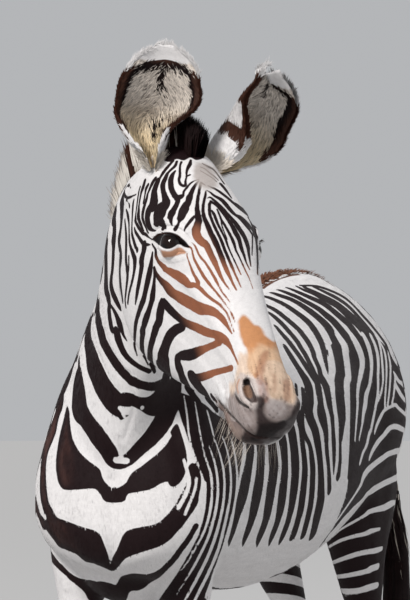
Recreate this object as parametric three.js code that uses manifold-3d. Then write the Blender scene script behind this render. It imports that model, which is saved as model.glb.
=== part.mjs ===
// A standing Grevy's zebra, life-size, with its head turned to its left.
// Units are millimetres. +Z is up, the animal faces -Y and its left side is +X.
// The body is lofted through named cross-sections, joined into one form, and then parted
// into head, neck, trunk, legs and tail by thin cuts.
import * as THREE from "three";
import { mergeVertices } from "three/addons/utils/BufferGeometryUtils.js";
import Module from "manifold-3d";

const wasm = await Module();
wasm.setup();

// ---- Driving dimensions ----------------------------------------------------------------
const WITHERS = 1500; // height at the withers
const CROUP = 1492; // height at the croup
const BREAST_Y = -742; // the foremost point of the breast
const BUTTOCK_Y = 770; // the rearmost point of the thighs
const SWAY = { fore: 0.095e-3, hind: 0.12e-3 }; // the spine bends sideways: x grows by SWAY * y * y
const HEAD_LENGTH = 643; // poll to the front of the upper lip
const POLL = new THREE.Vector3(300, -920, 1724);
const HEAD_TURN = 52; // degrees to the animal's left
const HEAD_DROP = 51; // degrees that the face slopes down
const HEAD_ROLL = -5; // degrees that the left side of the head is lower
const EYE = { along: 216, out: 88, below: 60, radius: 27 };
const EAR_LENGTH = 245;
const MANE_HEIGHT = 62; // at the middle of the neck
const GAP = 0.4; // between neighbouring solids

// ---- Colours ---------------------------------------------------------------------------
const paint = (color, roughness) => new THREE.MeshStandardMaterial({ color, roughness, metalness: 0 });
const COAT = paint(0xb9aea4, 0.75);
const EAR_COAT = paint(0xcfc5b8, 0.85);
const MANE_HAIR = paint(0x4a3428, 0.9);
const TAIL_HAIR = paint(0x2a2220, 0.9);
const HORN = paint(0x3a332e, 0.5);
const EYE_GLOSS = paint(0x140c0a, 0.08);

// ---- Lofting ---------------------------------------------------------------------------
// A value that runs smoothly through a list, at t from 0 to 1.
function through(values, t) {
  const last = values.length - 1;
  const place = Math.min(t * last, last - 1e-9);
  const i = Math.floor(place);
  const f = place - i;
  const at = (k) => values[Math.max(0, Math.min(last, k))];
  const before = (at(i + 1) - at(i - 1)) / 2;
  const after = (at(i + 2) - at(i)) / 2;
  const rise = at(i + 1) - at(i);
  return at(i) + f * (before + f * (3 * rise - 2 * before - after + f * (before + after - 2 * rise)));
}

// A section is an egg round `at`: `half` to each side along `across`, `rise` along `up`
// and `drop` against it. `crest` and `keel` are the powers of its two ends: 2 is an ellipse,
// less is sharper and more is squarer.
function sectionPoint(section, angle) {
  const c = Math.cos(angle);
  const s = Math.sin(angle);
  const power = s > 0 ? section.crest : section.keel;
  const reach = s > 0 ? section.rise : section.drop;
  const x = section.half * Math.sign(c) * Math.abs(c) ** (2 / power);
  const y = reach * Math.sign(s) * Math.abs(s) ** (2 / power);
  return section.at.clone().addScaledVector(section.across, x).addScaledVector(section.up, y);
}

const SIZES = ["half", "rise", "drop", "crest", "keel"];

function blendSections(sections, t) {
  const vector = (key) => new THREE.Vector3(
    ...["x", "y", "z"].map((axis) => through(sections.map((s) => s[key][axis]), t)),
  );
  const made = { at: vector("at"), across: vector("across").normalize(), up: vector("up").normalize() };
  for (const size of SIZES) made[size] = through(sections.map((s) => s[size]), t);
  return made;
}

// A swell pushes the surface outward round a place, on both sides of the body, as a muscle
// or a bone does; a negative push makes a hollow.
function swelled(point, outward, swells) {
  let push = 0;
  for (const { at, size, by } of swells) {
    for (const side of [-1, 1]) {
      const far = [point.x - side * at[0], point.y - at[1], point.z - at[2]];
      push += by * Math.exp(-far.reduce((sum, d, i) => sum + (d / size[i]) ** 2, 0));
    }
  }
  return point.addScaledVector(outward, push);
}

// A closed surface through sections, with `sides` points a ring and `rings` rings.
// `grow` thickens it all round, for the room a neighbour leaves.
function loft(sections, sides, rings, swells = [], grow = 0) {
  const points = [];
  for (let r = 0; r < rings; r++) {
    const section = blendSections(sections, r / (rings - 1));
    for (let k = 0; k < sides; k++) {
      const point = sectionPoint(section, (2 * Math.PI * (k + 0.5)) / sides);
      const outward = point.clone().sub(section.at).normalize();
      points.push(swelled(point, outward, swells).addScaledVector(outward, grow));
    }
  }
  const faces = [];
  for (let r = 0; r + 1 < rings; r++) {
    for (let k = 0; k < sides; k++) {
      const a = r * sides + k;
      const b = r * sides + ((k + 1) % sides);
      faces.push(a, b, b + sides, a, b + sides, a + sides);
    }
  }
  for (const [ring, turn] of [[0, -1], [rings - 1, 1]]) {
    const middle = new THREE.Vector3();
    for (let k = 0; k < sides; k++) middle.addScaledVector(points[ring * sides + k], 1 / sides);
    points.push(middle);
    for (let k = 0; k < sides; k++) {
      const a = ring * sides + k;
      const b = ring * sides + ((k + 1) % sides);
      faces.push(...(turn > 0 ? [a, b, points.length - 1] : [b, a, points.length - 1]));
    }
  }
  return surface(points, faces);
}

function surface(points, faces) {
  const geometry = new THREE.BufferGeometry().setFromPoints(points);
  geometry.setIndex(faces);
  return geometry;
}

// ---- Solids ----------------------------------------------------------------------------
// The manifold-3d solid of a closed geometry, turned the right way out.
function solid(geometry, matrix) {
  const plain = geometry.clone();
  plain.deleteAttribute("normal");
  plain.deleteAttribute("uv");
  if (matrix) plain.applyMatrix4(matrix);
  const merged = mergeVertices(plain, 1e-3);
  const build = (triVerts) => new wasm.Manifold(
    new wasm.Mesh({ numProp: 3, vertProperties: merged.attributes.position.array, triVerts }),
  );
  const triVerts = new Uint32Array(merged.index.array);
  const made = build(triVerts);
  return made.volume() > 0 ? made : build(triVerts.slice().reverse());
}

const join = (...solids) => solids.reduce((whole, next) => whole.add(next));

function toGeometry(made) {
  const { numProp, vertProperties, triVerts, numVert } = made.getMesh();
  const positions = new Float32Array(numVert * 3);
  for (let i = 0; i < numVert; i++) {
    positions.set(vertProperties.subarray(i * numProp, i * numProp + 3), i * 3);
  }
  const geometry = new THREE.BufferGeometry();
  geometry.setAttribute("position", new THREE.BufferAttribute(positions, 3));
  geometry.setIndex(new THREE.BufferAttribute(triVerts, 1));
  return geometry;
}

const rad = THREE.MathUtils.degToRad;
const X = new THREE.Vector3(1, 0, 0);
const Z = new THREE.Vector3(0, 0, 1);
const FORWARD = new THREE.Vector3(0, -1, 0);

// The spine's sideways bend.
const swayAt = (y) => (y < 0 ? SWAY.fore : SWAY.hind) * y * y;
const sway = (made) => made.warp((v) => {
  v[0] += swayAt(v[1]);
});

// ---- Trunk -----------------------------------------------------------------------------
// y: place along the spine; top and bottom: heights; wide: height of the widest point.
const TRUNK = [
  { y: BUTTOCK_Y, top: 1235, wide: 1160, bottom: 1090, half: 55, crest: 2, keel: 2 },
  { y: 745, top: 1300, wide: 1160, bottom: 1000, half: 116, crest: 2, keel: 2 },
  { y: 680, top: 1378, wide: 1155, bottom: 910, half: 166, crest: 2, keel: 2 },
  { y: 575, top: 1446, wide: 1145, bottom: 862, half: 210, crest: 1.95, keel: 2 },
  { y: 440, top: CROUP - 6, wide: 1125, bottom: 842, half: 238, crest: 1.9, keel: 2.1 },
  { y: 290, top: 1478, wide: 1100, bottom: 805, half: 262, crest: 1.9, keel: 2.2 },
  { y: 110, top: 1442, wide: 1085, bottom: 765, half: 284, crest: 1.9, keel: 2.25 },
  { y: -70, top: 1428, wide: 1075, bottom: 752, half: 284, crest: 1.85, keel: 2.25 },
  { y: -230, top: 1445, wide: 1060, bottom: 765, half: 262, crest: 1.75, keel: 2.25 },
  { y: -370, top: WITHERS - 8, wide: 1035, bottom: 785, half: 242, crest: 1.6, keel: 2.3 },
  { y: -490, top: 1478, wide: 1015, bottom: 800, half: 232, crest: 1.6, keel: 2.4 },
  { y: -590, top: 1400, wide: 995, bottom: 815, half: 218, crest: 1.8, keel: 2.4 },
  { y: -670, top: 1270, wide: 985, bottom: 838, half: 184, crest: 2, keel: 2.2 },
  { y: -722, top: 1165, wide: 985, bottom: 872, half: 128, crest: 2, keel: 2 },
  { y: BREAST_Y, top: 1075, wide: 990, bottom: 925, half: 60, crest: 2, keel: 2 },
].map(({ y, top, wide, bottom, ...shape }) => ({
  at: new THREE.Vector3(0, y, wide), across: X, up: Z, rise: top - wide, drop: wide - bottom, ...shape,
}));
const TRUNK_SWELLS = [
  { at: [185, -600, 990], size: [90, 85, 110], by: 18 }, // point of the shoulder
  { at: [170, -470, 1150], size: [90, 70, 150], by: 8 }, // shoulder blade
  { at: [215, -380, 960], size: [80, 110, 90], by: 10 }, // upper arm
  { at: [90, -730, 985], size: [60, 60, 80], by: 12 }, // breast
  { at: [0, -742, 1010], size: [26, 80, 120], by: -9 }, // groove of the breast
  { at: [175, 330, 1350], size: [70, 60, 60], by: 10 }, // point of the hip
  { at: [225, 520, 1130], size: [90, 150, 150], by: 12 }, // thigh
  { at: [240, 330, 1120], size: [60, 60, 140], by: -10 }, // flank
];

const makeTrunk = (grow) => solid(loft(TRUNK, 26, 29, TRUNK_SWELLS, grow));

// ---- Legs ------------------------------------------------------------------------------
// Each leg runs down through named joints. z: height; y: place along the body, counted from
// the leg's foot; out: sideways from the leg's own line; front, back and half: half sizes.
const FORELEG = [
  { z: 1040, y: -20, out: -20, half: 46, front: 80, back: 84 },
  { z: 960, y: -32, out: -2, half: 66, front: 98, back: 108 },
  { z: 880, y: -32, out: 0, half: 66, front: 86, back: 98 },
  { z: 800, y: -24, out: 0, half: 57, front: 66, back: 72 },
  { z: 700, y: -20, out: -4, half: 42, front: 50, back: 47 },
  { z: 600, y: -18, out: -6, half: 34, front: 40, back: 36 },
  { z: 530, y: -18, out: -6, half: 34, front: 38, back: 35 },
  { z: 480, y: -18, out: -6, half: 38, front: 41, back: 39 },
  { z: 430, y: -15, out: -6, half: 33, front: 34, back: 36 },
  { z: 385, y: -12, out: -6, half: 25, front: 25, back: 33 },
  { z: 300, y: -10, out: -6, half: 22.5, front: 23, back: 31 },
  { z: 230, y: -8, out: -6, half: 25, front: 26, back: 35 },
  { z: 195, y: -10, out: -6, half: 30, front: 31, back: 38 },
  { z: 155, y: -22, out: -6, half: 27, front: 27, back: 32 },
  { z: 115, y: -38, out: -6, half: 27, front: 29, back: 31 },
  { z: 80, y: -48, out: -6, half: 36, front: 38, back: 38 },
];
const HINDLEG = [
  { z: 1130, y: -90, out: -6, half: 62, front: 120, back: 140 },
  { z: 1030, y: -80, out: 12, half: 86, front: 158, back: 180 },
  { z: 930, y: -78, out: 18, half: 84, front: 148, back: 174 },
  { z: 850, y: -48, out: 13, half: 71, front: 110, back: 126 },
  { z: 780, y: -18, out: 8, half: 60, front: 82, back: 84 },
  { z: 700, y: 15, out: 3, half: 49, front: 63, back: 62 },
  { z: 630, y: 44, out: 0, half: 35, front: 46, back: 54 },
  { z: 575, y: 56, out: 0, half: 33, front: 43, back: 55 },
  { z: 520, y: 54, out: 0, half: 36, front: 41, back: 50 },
  { z: 465, y: 42, out: 0, half: 32, front: 35, back: 42 },
  { z: 400, y: 34, out: 0, half: 25, front: 27, back: 34 },
  { z: 310, y: 25, out: 0, half: 23, front: 25, back: 32 },
  { z: 240, y: 18, out: 0, half: 25, front: 27, back: 36 },
  { z: 200, y: 14, out: 0, half: 30, front: 31, back: 39 },
  { z: 158, y: 0, out: 0, half: 27, front: 27, back: 32 },
  { z: 115, y: -16, out: 0, half: 27, front: 29, back: 31 },
  { z: 80, y: -26, out: 0, half: 35, front: 37, back: 37 },
];
// foot: where each hoof stands; swing: how far the upper leg leans from it.
const LEGS = [
  { name: "fore_right", shape: FORELEG, side: -1, stance: 158, foot: -474, swing: 10 },
  { name: "fore_left", shape: FORELEG, side: 1, stance: 103, foot: -520, swing: 22 },
  { name: "hind_right", shape: HINDLEG, side: -1, stance: 136, foot: 712, swing: -115 },
  { name: "hind_left", shape: HINDLEG, side: 1, stance: 88, foot: 548, swing: 45 },
];
const HOOF = { height: 84, toe: 62, heel: 56, half: 51, shrink: 0.74, lean: 26 };
const WRIST = 505; // height where the foreleg parts
const HOCK = 585; // height where the hind leg parts

const legLean = (leg, z) => leg.swing * THREE.MathUtils.smoothstep(z, 150, 950);

function makeLeg(leg) {
  const sections = leg.shape.map(({ z, y, out, half, front, back }) => ({
    at: new THREE.Vector3(leg.side * (leg.stance + out), leg.foot + y + legLean(leg, z), z),
    across: X, up: FORWARD, half, rise: front, drop: back, crest: 2.1, keel: 2.1,
  }));
  return solid(loft(sections, 12, Math.round(leg.shape.length * 1.5)));
}

function makeHoof(leg) {
  const base = leg.shape.at(-1);
  const x = leg.side * (leg.stance + base.out);
  const ring = (z, share, y) => ({
    at: new THREE.Vector3(x, leg.foot + y, z), across: X, up: FORWARD,
    half: HOOF.half * share, rise: HOOF.toe * share, drop: HOOF.heel * share, crest: 2.2, keel: 2.8,
  });
  const top = base.y + 2;
  return solid(loft([ring(0, 1, top - HOOF.lean), ring(HOOF.height, HOOF.shrink, top)], 16, 3));
}

// ---- Neck ------------------------------------------------------------------------------
// Each section lies between a point of the crest and a point of the throat.
const NECK = [
  { crest: [10, -330, 1440], throat: [40, -600, 900], half: 168 },
  { crest: [26, -430, 1490], throat: [54, -724, 1030], half: 148 },
  { crest: [50, -552, 1560], throat: [92, -768, 1150], half: 97 },
  { crest: [74, -660, 1628], throat: [140, -802, 1250], half: 82 },
  { crest: [122, -768, 1676], throat: [186, -832, 1340], half: 80 },
  { crest: [202, -858, 1696], throat: [220, -850, 1420], half: 79 },
  { crest: [266, -900, 1690], throat: [268, -880, 1470], half: 72 },
];

function neckSections() {
  const crest = new THREE.CatmullRomCurve3(NECK.map((n) => new THREE.Vector3(...n.crest)));
  const throat = new THREE.CatmullRomCurve3(NECK.map((n) => new THREE.Vector3(...n.throat)));
  return NECK.map(({ half }, i) => {
    const t = i / (NECK.length - 1);
    const top = crest.getPoint(t);
    const under = throat.getPoint(t);
    const up = top.clone().sub(under);
    const along = crest.getTangent(t).add(throat.getTangent(t)).normalize();
    const reach = up.length() / 2;
    up.normalize();
    const across = new THREE.Vector3().crossVectors(along, up).normalize();
    return {
      at: top.clone().add(under).multiplyScalar(0.5), across, up, half, rise: reach, drop: reach,
      crest: 1.75, keel: 2.1,
    };
  });
}

const makeNeck = (grow) => solid(loft(neckSections(), 20, 13, [], grow));

// ---- Head ------------------------------------------------------------------------------
// The head's own frame: x to the animal's left, y back along the face from the nose to the
// poll, z out of the forehead. Its origin is the poll.
function headFrame() {
  const turn = new THREE.Matrix4().makeRotationZ(rad(HEAD_TURN));
  const drop = new THREE.Matrix4().makeRotationX(rad(HEAD_DROP));
  const roll = new THREE.Matrix4().makeRotationY(rad(-HEAD_ROLL));
  const place = new THREE.Matrix4().makeTranslation(POLL.x, POLL.y, POLL.z);
  return place.multiply(turn).multiply(drop).multiply(roll);
}
const HEAD_FRAME = headFrame();

// along: distance down the face from the poll; top and bottom: heights over the face line.
const HEAD = [
  { along: -50, top: -62, wide: -115, bottom: -175, half: 44, crest: 2, keel: 2 },
  { along: -25, top: -24, wide: -112, bottom: -220, half: 68, crest: 2, keel: 2 },
  { along: 20, top: 0, wide: -105, bottom: -258, half: 78, crest: 2.1, keel: 2.1 },
  { along: 75, top: 11, wide: -92, bottom: -300, half: 86, crest: 2.3, keel: 2.4 },
  { along: 135, top: 15, wide: -80, bottom: -330, half: 92, crest: 2.5, keel: 2.7 },
  { along: 200, top: 14, wide: -72, bottom: -346, half: 95, crest: 2.6, keel: 2.8 },
  { along: 262, top: 6, wide: -82, bottom: -344, half: 88, crest: 2.5, keel: 2.8 },
  { along: 330, top: -3, wide: -94, bottom: -316, half: 77, crest: 2.4, keel: 2.7 },
  { along: 400, top: -9, wide: -100, bottom: -270, half: 66, crest: 2.4, keel: 2.5 },
  { along: 470, top: -15, wide: -100, bottom: -222, half: 57, crest: 2.4, keel: 2.3 },
  { along: 525, top: -21, wide: -92, bottom: -190, half: 54, crest: 2.4, keel: 2.3 },
  { along: 572, top: -31, wide: -90, bottom: -178, half: 58, crest: 2.4, keel: 2.4 },
  { along: 612, top: -50, wide: -100, bottom: -166, half: 57, crest: 2.4, keel: 2.4 },
  { along: 634, top: -74, wide: -110, bottom: -150, half: 44, crest: 2.2, keel: 2.2 },
  { along: HEAD_LENGTH, top: -94, wide: -114, bottom: -134, half: 22, crest: 2, keel: 2 },
].map(({ along, top, wide, bottom, ...shape }) => ({
  at: new THREE.Vector3(0, -along, wide), across: X, up: Z, rise: top - wide, drop: wide - bottom, ...shape,
}));
const HEAD_SWELLS = [
  { at: [96, -200, -32], size: [34, 46, 30], by: 15 }, // brow over the eye
  { at: [78, -300, -92], size: [30, 80, 20], by: 7 }, // cheekbone
  { at: [84, -190, -200], size: [50, 80, 75], by: 9 }, // jowl
  { at: [52, -588, -72], size: [30, 34, 28], by: 12 }, // wing of the nostril
  { at: [56, -505, -110], size: [26, 46, 40], by: -5 }, // hollow over the mouth
  { at: [70, -14, -30], size: [30, 32, 30], by: 10 }, // root of the ear
  { at: [100, -214, -68], size: [40, 26, 17], by: -9 }, // hollow of the eye
  { at: [0, -592, -170], size: [38, 30, 22], by: 4 }, // chin
];

const makeHead = (grow) => solid(loft(HEAD, 24, 29, HEAD_SWELLS, grow)).transform(HEAD_FRAME.elements);

const eyeCentre = (side) => (
  new THREE.Vector3(side * EYE.out, -EYE.along, -EYE.below).applyMatrix4(HEAD_FRAME)
);
const makeEye = (side, extra = 0) => solid(
  new THREE.SphereGeometry(EYE.radius + extra, 12, 8),
  new THREE.Matrix4().makeTranslation(...eyeCentre(side)),
);

// ---- Ears ------------------------------------------------------------------------------
// Each ear is a rolled shell. At a share s of its length it is an arc that spans `wrap`
// degrees each way from the middle of its back, `half` wide and `deep` from back to rim.
const EAR_SHAPE = {
  half: [12, 21, 37, 49, 65, 78, 81, 77, 58, 36, 10],
  deep: [24, 44, 62, 72, 68, 55, 43, 32, 21, 13, 5],
  wrap: [155, 146, 133, 120, 108, 97, 88, 81, 75, 70, 66],
  outward: [3, 9, 20, 26, 22, 10, 5, 5, 0, 0, 0],
  thick: [11, 11, 11, 10, 10, 9, 8, 8, 8, 7, 6],
};
const EAR_ROWS = 12;
const EAR_COLUMNS = 9;
// root: in the head's frame. The rest is in the model's frame: where the tip points, where
// the opening faces, and how far the middle of the ear bows off the straight line.
const EARS = [
  {
    name: "right", side: -1, root: [-66, -14, -42],
    tip: [0.09, 0.03, 0.99], front: [0.38, -0.925, 0], bow: [0, 0, 0],
  },
  {
    name: "left", side: 1, root: [70, -10, -38],
    tip: [0.47, 0.17, 0.86], front: [0.974, -0.225, 0], bow: [44, 18, 0],
  },
];

function earPoint({ side, bow }, frame, s, turn, inner) {
  const shape = {};
  for (const [key, list] of Object.entries(EAR_SHAPE)) shape[key] = through(list, s);
  const inset = inner ? shape.thick : 0;
  const angle = rad(shape.wrap) * turn * (inner ? 0.97 : 1);
  const half = Math.max(shape.half - inset, 1.5);
  const deep = Math.max(shape.deep - inset, 1.2);
  return frame.foot.clone()
    .addScaledVector(frame.along, EAR_LENGTH * (s - 0.06) - (inner && s === 1 ? 1 : 0))
    .addScaledVector(frame.across, half * Math.sin(angle) + side * shape.outward)
    .addScaledVector(frame.front, inset + deep * (1 - Math.cos(angle)) - shape.deep)
    .addScaledVector(new THREE.Vector3(...bow), Math.sin(Math.PI * s ** 1.3));
}

function makeEar(ear) {
  const along = new THREE.Vector3(...ear.tip).normalize();
  const front = new THREE.Vector3(...ear.front);
  front.addScaledVector(along, -front.dot(along)).normalize();
  const across = new THREE.Vector3().crossVectors(along, front);
  const frame = { along, front, across, foot: new THREE.Vector3(...ear.root).applyMatrix4(HEAD_FRAME) };
  const points = [];
  for (const inner of [false, true]) {
    for (let r = 0; r < EAR_ROWS; r++) {
      for (let c = 0; c < EAR_COLUMNS; c++) {
        const turn = (2 * c) / (EAR_COLUMNS - 1) - 1;
        points.push(earPoint(ear, frame, r / (EAR_ROWS - 1), turn, inner));
      }
    }
  }
  return solid(surface(points, shellFaces(EAR_ROWS, EAR_COLUMNS)));
}

// The faces that close two like grids of points, an outer and then an inner, into a shell.
function shellFaces(rows, columns) {
  const count = rows * columns;
  const faces = [];
  const quad = (a, b, c, d) => faces.push(a, b, c, a, c, d);
  for (let r = 0; r + 1 < rows; r++) {
    for (let c = 0; c + 1 < columns; c++) {
      const a = r * columns + c;
      quad(a, a + 1, a + columns + 1, a + columns);
      quad(count + a, count + a + columns, count + a + columns + 1, count + a + 1);
    }
    const first = r * columns;
    const last = first + columns - 1;
    quad(first, first + columns, count + first + columns, count + first);
    quad(last, count + last, count + last + columns, last + columns);
  }
  for (let c = 0; c + 1 < columns; c++) {
    const top = (rows - 1) * columns + c;
    quad(c, count + c, count + c + 1, c + 1);
    quad(top, top + 1, count + top + 1, count + top);
  }
  return faces;
}

// ---- Mane ------------------------------------------------------------------------------
// A ridge of short upright hair from the withers over the poll to the forelock.
function maneSections() {
  const poll = (x, y, z) => new THREE.Vector3(x, y, z).applyMatrix4(HEAD_FRAME);
  const line = [
    ...NECK.slice(1, -1).map((n) => new THREE.Vector3(...n.crest)),
    poll(0, 18, -34),
    poll(0, -40, -6),
  ];
  const shares = [0.4, 0.8, 1, 1, 1.05, 1.4, 1.05];
  const ups = [
    ...neckSections().slice(1, -1).map((s) => s.up),
    new THREE.Vector3(0, 0.75, 0.65).transformDirection(HEAD_FRAME),
    new THREE.Vector3(0, 0.6, 0.8).transformDirection(HEAD_FRAME),
  ];
  const curve = new THREE.CatmullRomCurve3(line);
  return line.map((at, i) => {
    const along = curve.getTangent(i / (line.length - 1));
    const up = ups[i];
    const across = new THREE.Vector3().crossVectors(along, up).normalize();
    const rise = shares[i] * MANE_HEIGHT;
    return { at, across, up, half: i === 0 ? 12 : 19, rise, drop: 22, crest: 2.6, keel: 2 };
  });
}

const makeMane = (grow) => solid(loft(maneSections(), 8, 16, [], grow));

// ---- Tail ------------------------------------------------------------------------------
const TAIL = { rootZ: 1345, swing: 70, dockEnd: 900, tuftEnd: 470 };

function tailSections(list) {
  return list.map(({ z, y, half }) => ({
    at: new THREE.Vector3(TAIL.swing * THREE.MathUtils.smoothstep(TAIL.rootZ - z, 60, 620), y, z),
    across: X, up: FORWARD.clone().negate(), half, rise: half * 0.92, drop: half * 0.92, crest: 2, keel: 2,
  }));
}

const makeDock = (grow) => solid(loft(tailSections([
  { z: 1372, y: 672, half: 22 },
  { z: TAIL.rootZ, y: 735, half: 30 },
  { z: 1290, y: 790, half: 28 },
  { z: 1180, y: 820, half: 24 },
  { z: 1040, y: 828, half: 21 },
  { z: TAIL.dockEnd, y: 826, half: 21 },
]), 10, 10, [], grow));

const makeTuft = () => solid(loft(tailSections([
  { z: TAIL.dockEnd - GAP, y: 826, half: 22 },
  { z: 820, y: 824, half: 33 },
  { z: 700, y: 820, half: 40 },
  { z: 590, y: 816, half: 36 },
  { z: 510, y: 812, half: 22 },
  { z: TAIL.tuftEnd, y: 810, half: 5 },
]), 10, 10));

// ---- Parting ---------------------------------------------------------------------------
// Splits a solid by a plane into the part on the normal's side and the part behind it,
// with a thin gap between them.
function part(whole, normal, point) {
  const unit = normal.clone().normalize();
  const offset = unit.dot(point);
  const [ahead] = whole.splitByPlane(unit.toArray(), offset + GAP / 2);
  const [, behind] = whole.splitByPlane(unit.toArray(), offset - GAP / 2);
  return [ahead, behind];
}

// The largest piece, where a cut leaves slivers.
function largest(made) {
  return made.decompose().sort((a, b) => b.volume() - a.volume())[0];
}

// ---- The animal ------------------------------------------------------------------------
const zebra = new THREE.Group();
zebra.name = "zebra";

function add(name, made, material) {
  const mesh = new THREE.Mesh(toGeometry(largest(made)), material);
  mesh.name = name;
  zebra.add(mesh);
}

const sockets = join(makeEye(-1, GAP), makeEye(1, GAP));
const trunkRoom = sway(makeTrunk(GAP));
let trunkForm = sway(makeTrunk());

// The legs grow out of the trunk and are parted from it on slanting planes.
for (const leg of LEGS) {
  const fore = leg.shape === FORELEG;
  const rootZ = fore ? 890 : 900;
  const root = new THREE.Vector3(leg.side * leg.stance, leg.foot + legLean(leg, rootZ), rootZ);
  const down = new THREE.Vector3(leg.side * 0.35, fore ? 0.25 : 0.1, -1);
  const [below, above] = part(sway(makeLeg(leg)), down, root);
  trunkForm = trunkForm.add(above);
  const joint = new THREE.Vector3(0, 0, fore ? WRIST : HOCK);
  const [upper, lower] = part(largest(below.subtract(trunkRoom)), Z, joint);
  add(`${leg.name}_upper`, upper, COAT);
  add(`${leg.name}_lower`, part(lower, Z, new THREE.Vector3(0, 0, HOOF.height + GAP))[0], COAT);
  add(`${leg.name}_hoof`, sway(makeHoof(leg)), HORN);
}

const NECK_CUT = {
  normal: new THREE.Vector3(0.05, -0.86, 0.52),
  point: new THREE.Vector3(30, -590, 1300),
};
const HEAD_CUT = {
  normal: new THREE.Vector3(0, -1, 0.18).transformDirection(HEAD_FRAME),
  point: new THREE.Vector3(0, 12, -100).applyMatrix4(HEAD_FRAME),
};
const headEnd = HEAD_CUT.point.clone().addScaledVector(HEAD_CUT.normal, GAP);
const head = part(makeHead(), HEAD_CUT.normal, headEnd)[0];
const headRoom = part(makeHead(GAP), HEAD_CUT.normal, HEAD_CUT.point)[0];
const body = trunkForm.add(makeNeck());
const [neckAndMore, trunk] = part(body, NECK_CUT.normal, NECK_CUT.point);
const neck = largest(neckAndMore.subtract(headRoom));

const bodyRoom = join(trunkRoom, makeNeck(GAP), makeHead(GAP));
const maneAndBodyRoom = join(makeMane(GAP), bodyRoom);

add("trunk", trunk.subtract(sway(makeDock(GAP))), COAT);
add("neck", neck, COAT);
add("head", head.subtract(sockets), COAT);
add("mane", makeMane().subtract(bodyRoom), MANE_HAIR);
for (const ear of EARS) add(`ear_${ear.name}`, makeEar(ear).subtract(maneAndBodyRoom), EAR_COAT);
add("eye_right", makeEye(-1), EYE_GLOSS);
add("eye_left", makeEye(1), EYE_GLOSS);
add("tail_dock", sway(makeDock()), COAT);
add("tail_tuft", sway(makeTuft()), TAIL_HAIR);

// The origin is under the middle of the animal, at the level of its soles.
const box = new THREE.Box3().setFromObject(zebra);
const middle = box.getCenter(new THREE.Vector3());
for (const mesh of zebra.children) mesh.geometry.translate(-middle.x, -middle.y, -box.min.z);

export default zebra;
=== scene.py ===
"""A standing Grevy's zebra built round a ready frame: skin, markings, coat, eyes, ears, mane, tail and hooves."""

import math

import bmesh
import bpy
import numpy as np
from bpy.props import FloatProperty, FloatVectorProperty, IntProperty, PointerProperty
from bpy.types import Operator, Panel, PropertyGroup
from mathutils import Matrix, Vector
from mathutils.bvhtree import BVHTree
from mathutils.kdtree import KDTree


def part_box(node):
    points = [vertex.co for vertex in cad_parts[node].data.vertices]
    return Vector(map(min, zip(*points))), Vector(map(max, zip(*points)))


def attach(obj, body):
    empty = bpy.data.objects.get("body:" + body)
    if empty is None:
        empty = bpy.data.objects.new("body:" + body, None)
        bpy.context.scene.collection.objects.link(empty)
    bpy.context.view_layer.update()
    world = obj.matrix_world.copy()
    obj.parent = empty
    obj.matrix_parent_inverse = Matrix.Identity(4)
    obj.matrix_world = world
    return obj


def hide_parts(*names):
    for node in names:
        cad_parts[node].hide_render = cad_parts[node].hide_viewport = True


bl_info = {
    "name": "Grevy's Zebra",
    "version": (1, 0, 0),
    "blender": (4, 5, 0),
    "location": "View3D > Sidebar > Zebra",
    "description": "Dresses the frame of a standing zebra with skin, stripes, coat, eyes, mane, tail and hooves",
    "category": "Object",
}

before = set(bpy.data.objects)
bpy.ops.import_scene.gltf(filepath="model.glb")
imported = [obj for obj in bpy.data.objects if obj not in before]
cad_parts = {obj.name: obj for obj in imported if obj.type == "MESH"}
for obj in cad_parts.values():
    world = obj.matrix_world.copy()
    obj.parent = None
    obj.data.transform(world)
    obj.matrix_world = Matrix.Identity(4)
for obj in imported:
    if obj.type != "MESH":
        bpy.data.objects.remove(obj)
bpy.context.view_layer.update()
BODY = "root"
BUILT = {}  # what the skin's operator leaves for the ones that grow hair on it
MM = 0.001

# ---- Sizes that the frame was drawn with, in millimetres -----------------------------------
# The animal faces -Y and its left side is +X. The spine bends sideways by SWAY * y * y.
SWAY_FORE = 0.095e-3
SWAY_HIND = 0.12e-3
POLL = np.array((300.0, -920.0, 1724.0))
HEAD_TURN = math.radians(52)
HEAD_DROP = math.radians(51)
HEAD_ROLL = math.radians(5)
EYE_PLACE = np.array((88.0, -216.0, -60.0))
EYE_RADIUS = 27.0
EAR_LENGTH = 245.0
FLESH = ["trunk", "neck", "head", "tail_dock"] + [
    f"{end}_{side}_{part}" for end in ("fore", "hind") for side in ("right", "left") for part in ("upper", "lower")
]


def turned(axis, angle):
    return np.array(Matrix.Rotation(angle, 3, axis))


HEAD_TURNS = turned("Z", HEAD_TURN) @ turned("X", HEAD_DROP) @ turned("Y", HEAD_ROLL)


def from_head(local):
    """Points of the head's own frame, in millimetres, in the drawing's frame."""
    return np.asarray(local, float) @ HEAD_TURNS.T + POLL


def to_head(points):
    return (np.asarray(points, float) - POLL) @ HEAD_TURNS


def head_way(x, y, z):
    """A direction of the head's own frame in the drawing's frame."""
    return unit(from_head((x, y, z)) - POLL)


def frame_shift():
    """How far the drawing's frame lies from the model's, found from the right eye."""
    low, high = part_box("eye_right")
    middle = (np.array(low) + np.array(high)) / 2 / MM
    shift = middle - from_head(EYE_PLACE * (-1, 1, 1))
    return np.array((shift[0], shift[1], 0.0))


SHIFT = frame_shift()


def to_model(points):
    """Drawing millimetres to model metres."""
    return (np.asarray(points, float) + SHIFT) * MM


def to_drawing(points):
    return np.asarray(points, float) / MM - SHIFT


def sway(y):
    return np.where(y < 0, SWAY_FORE, SWAY_HIND) * y * y


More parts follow.
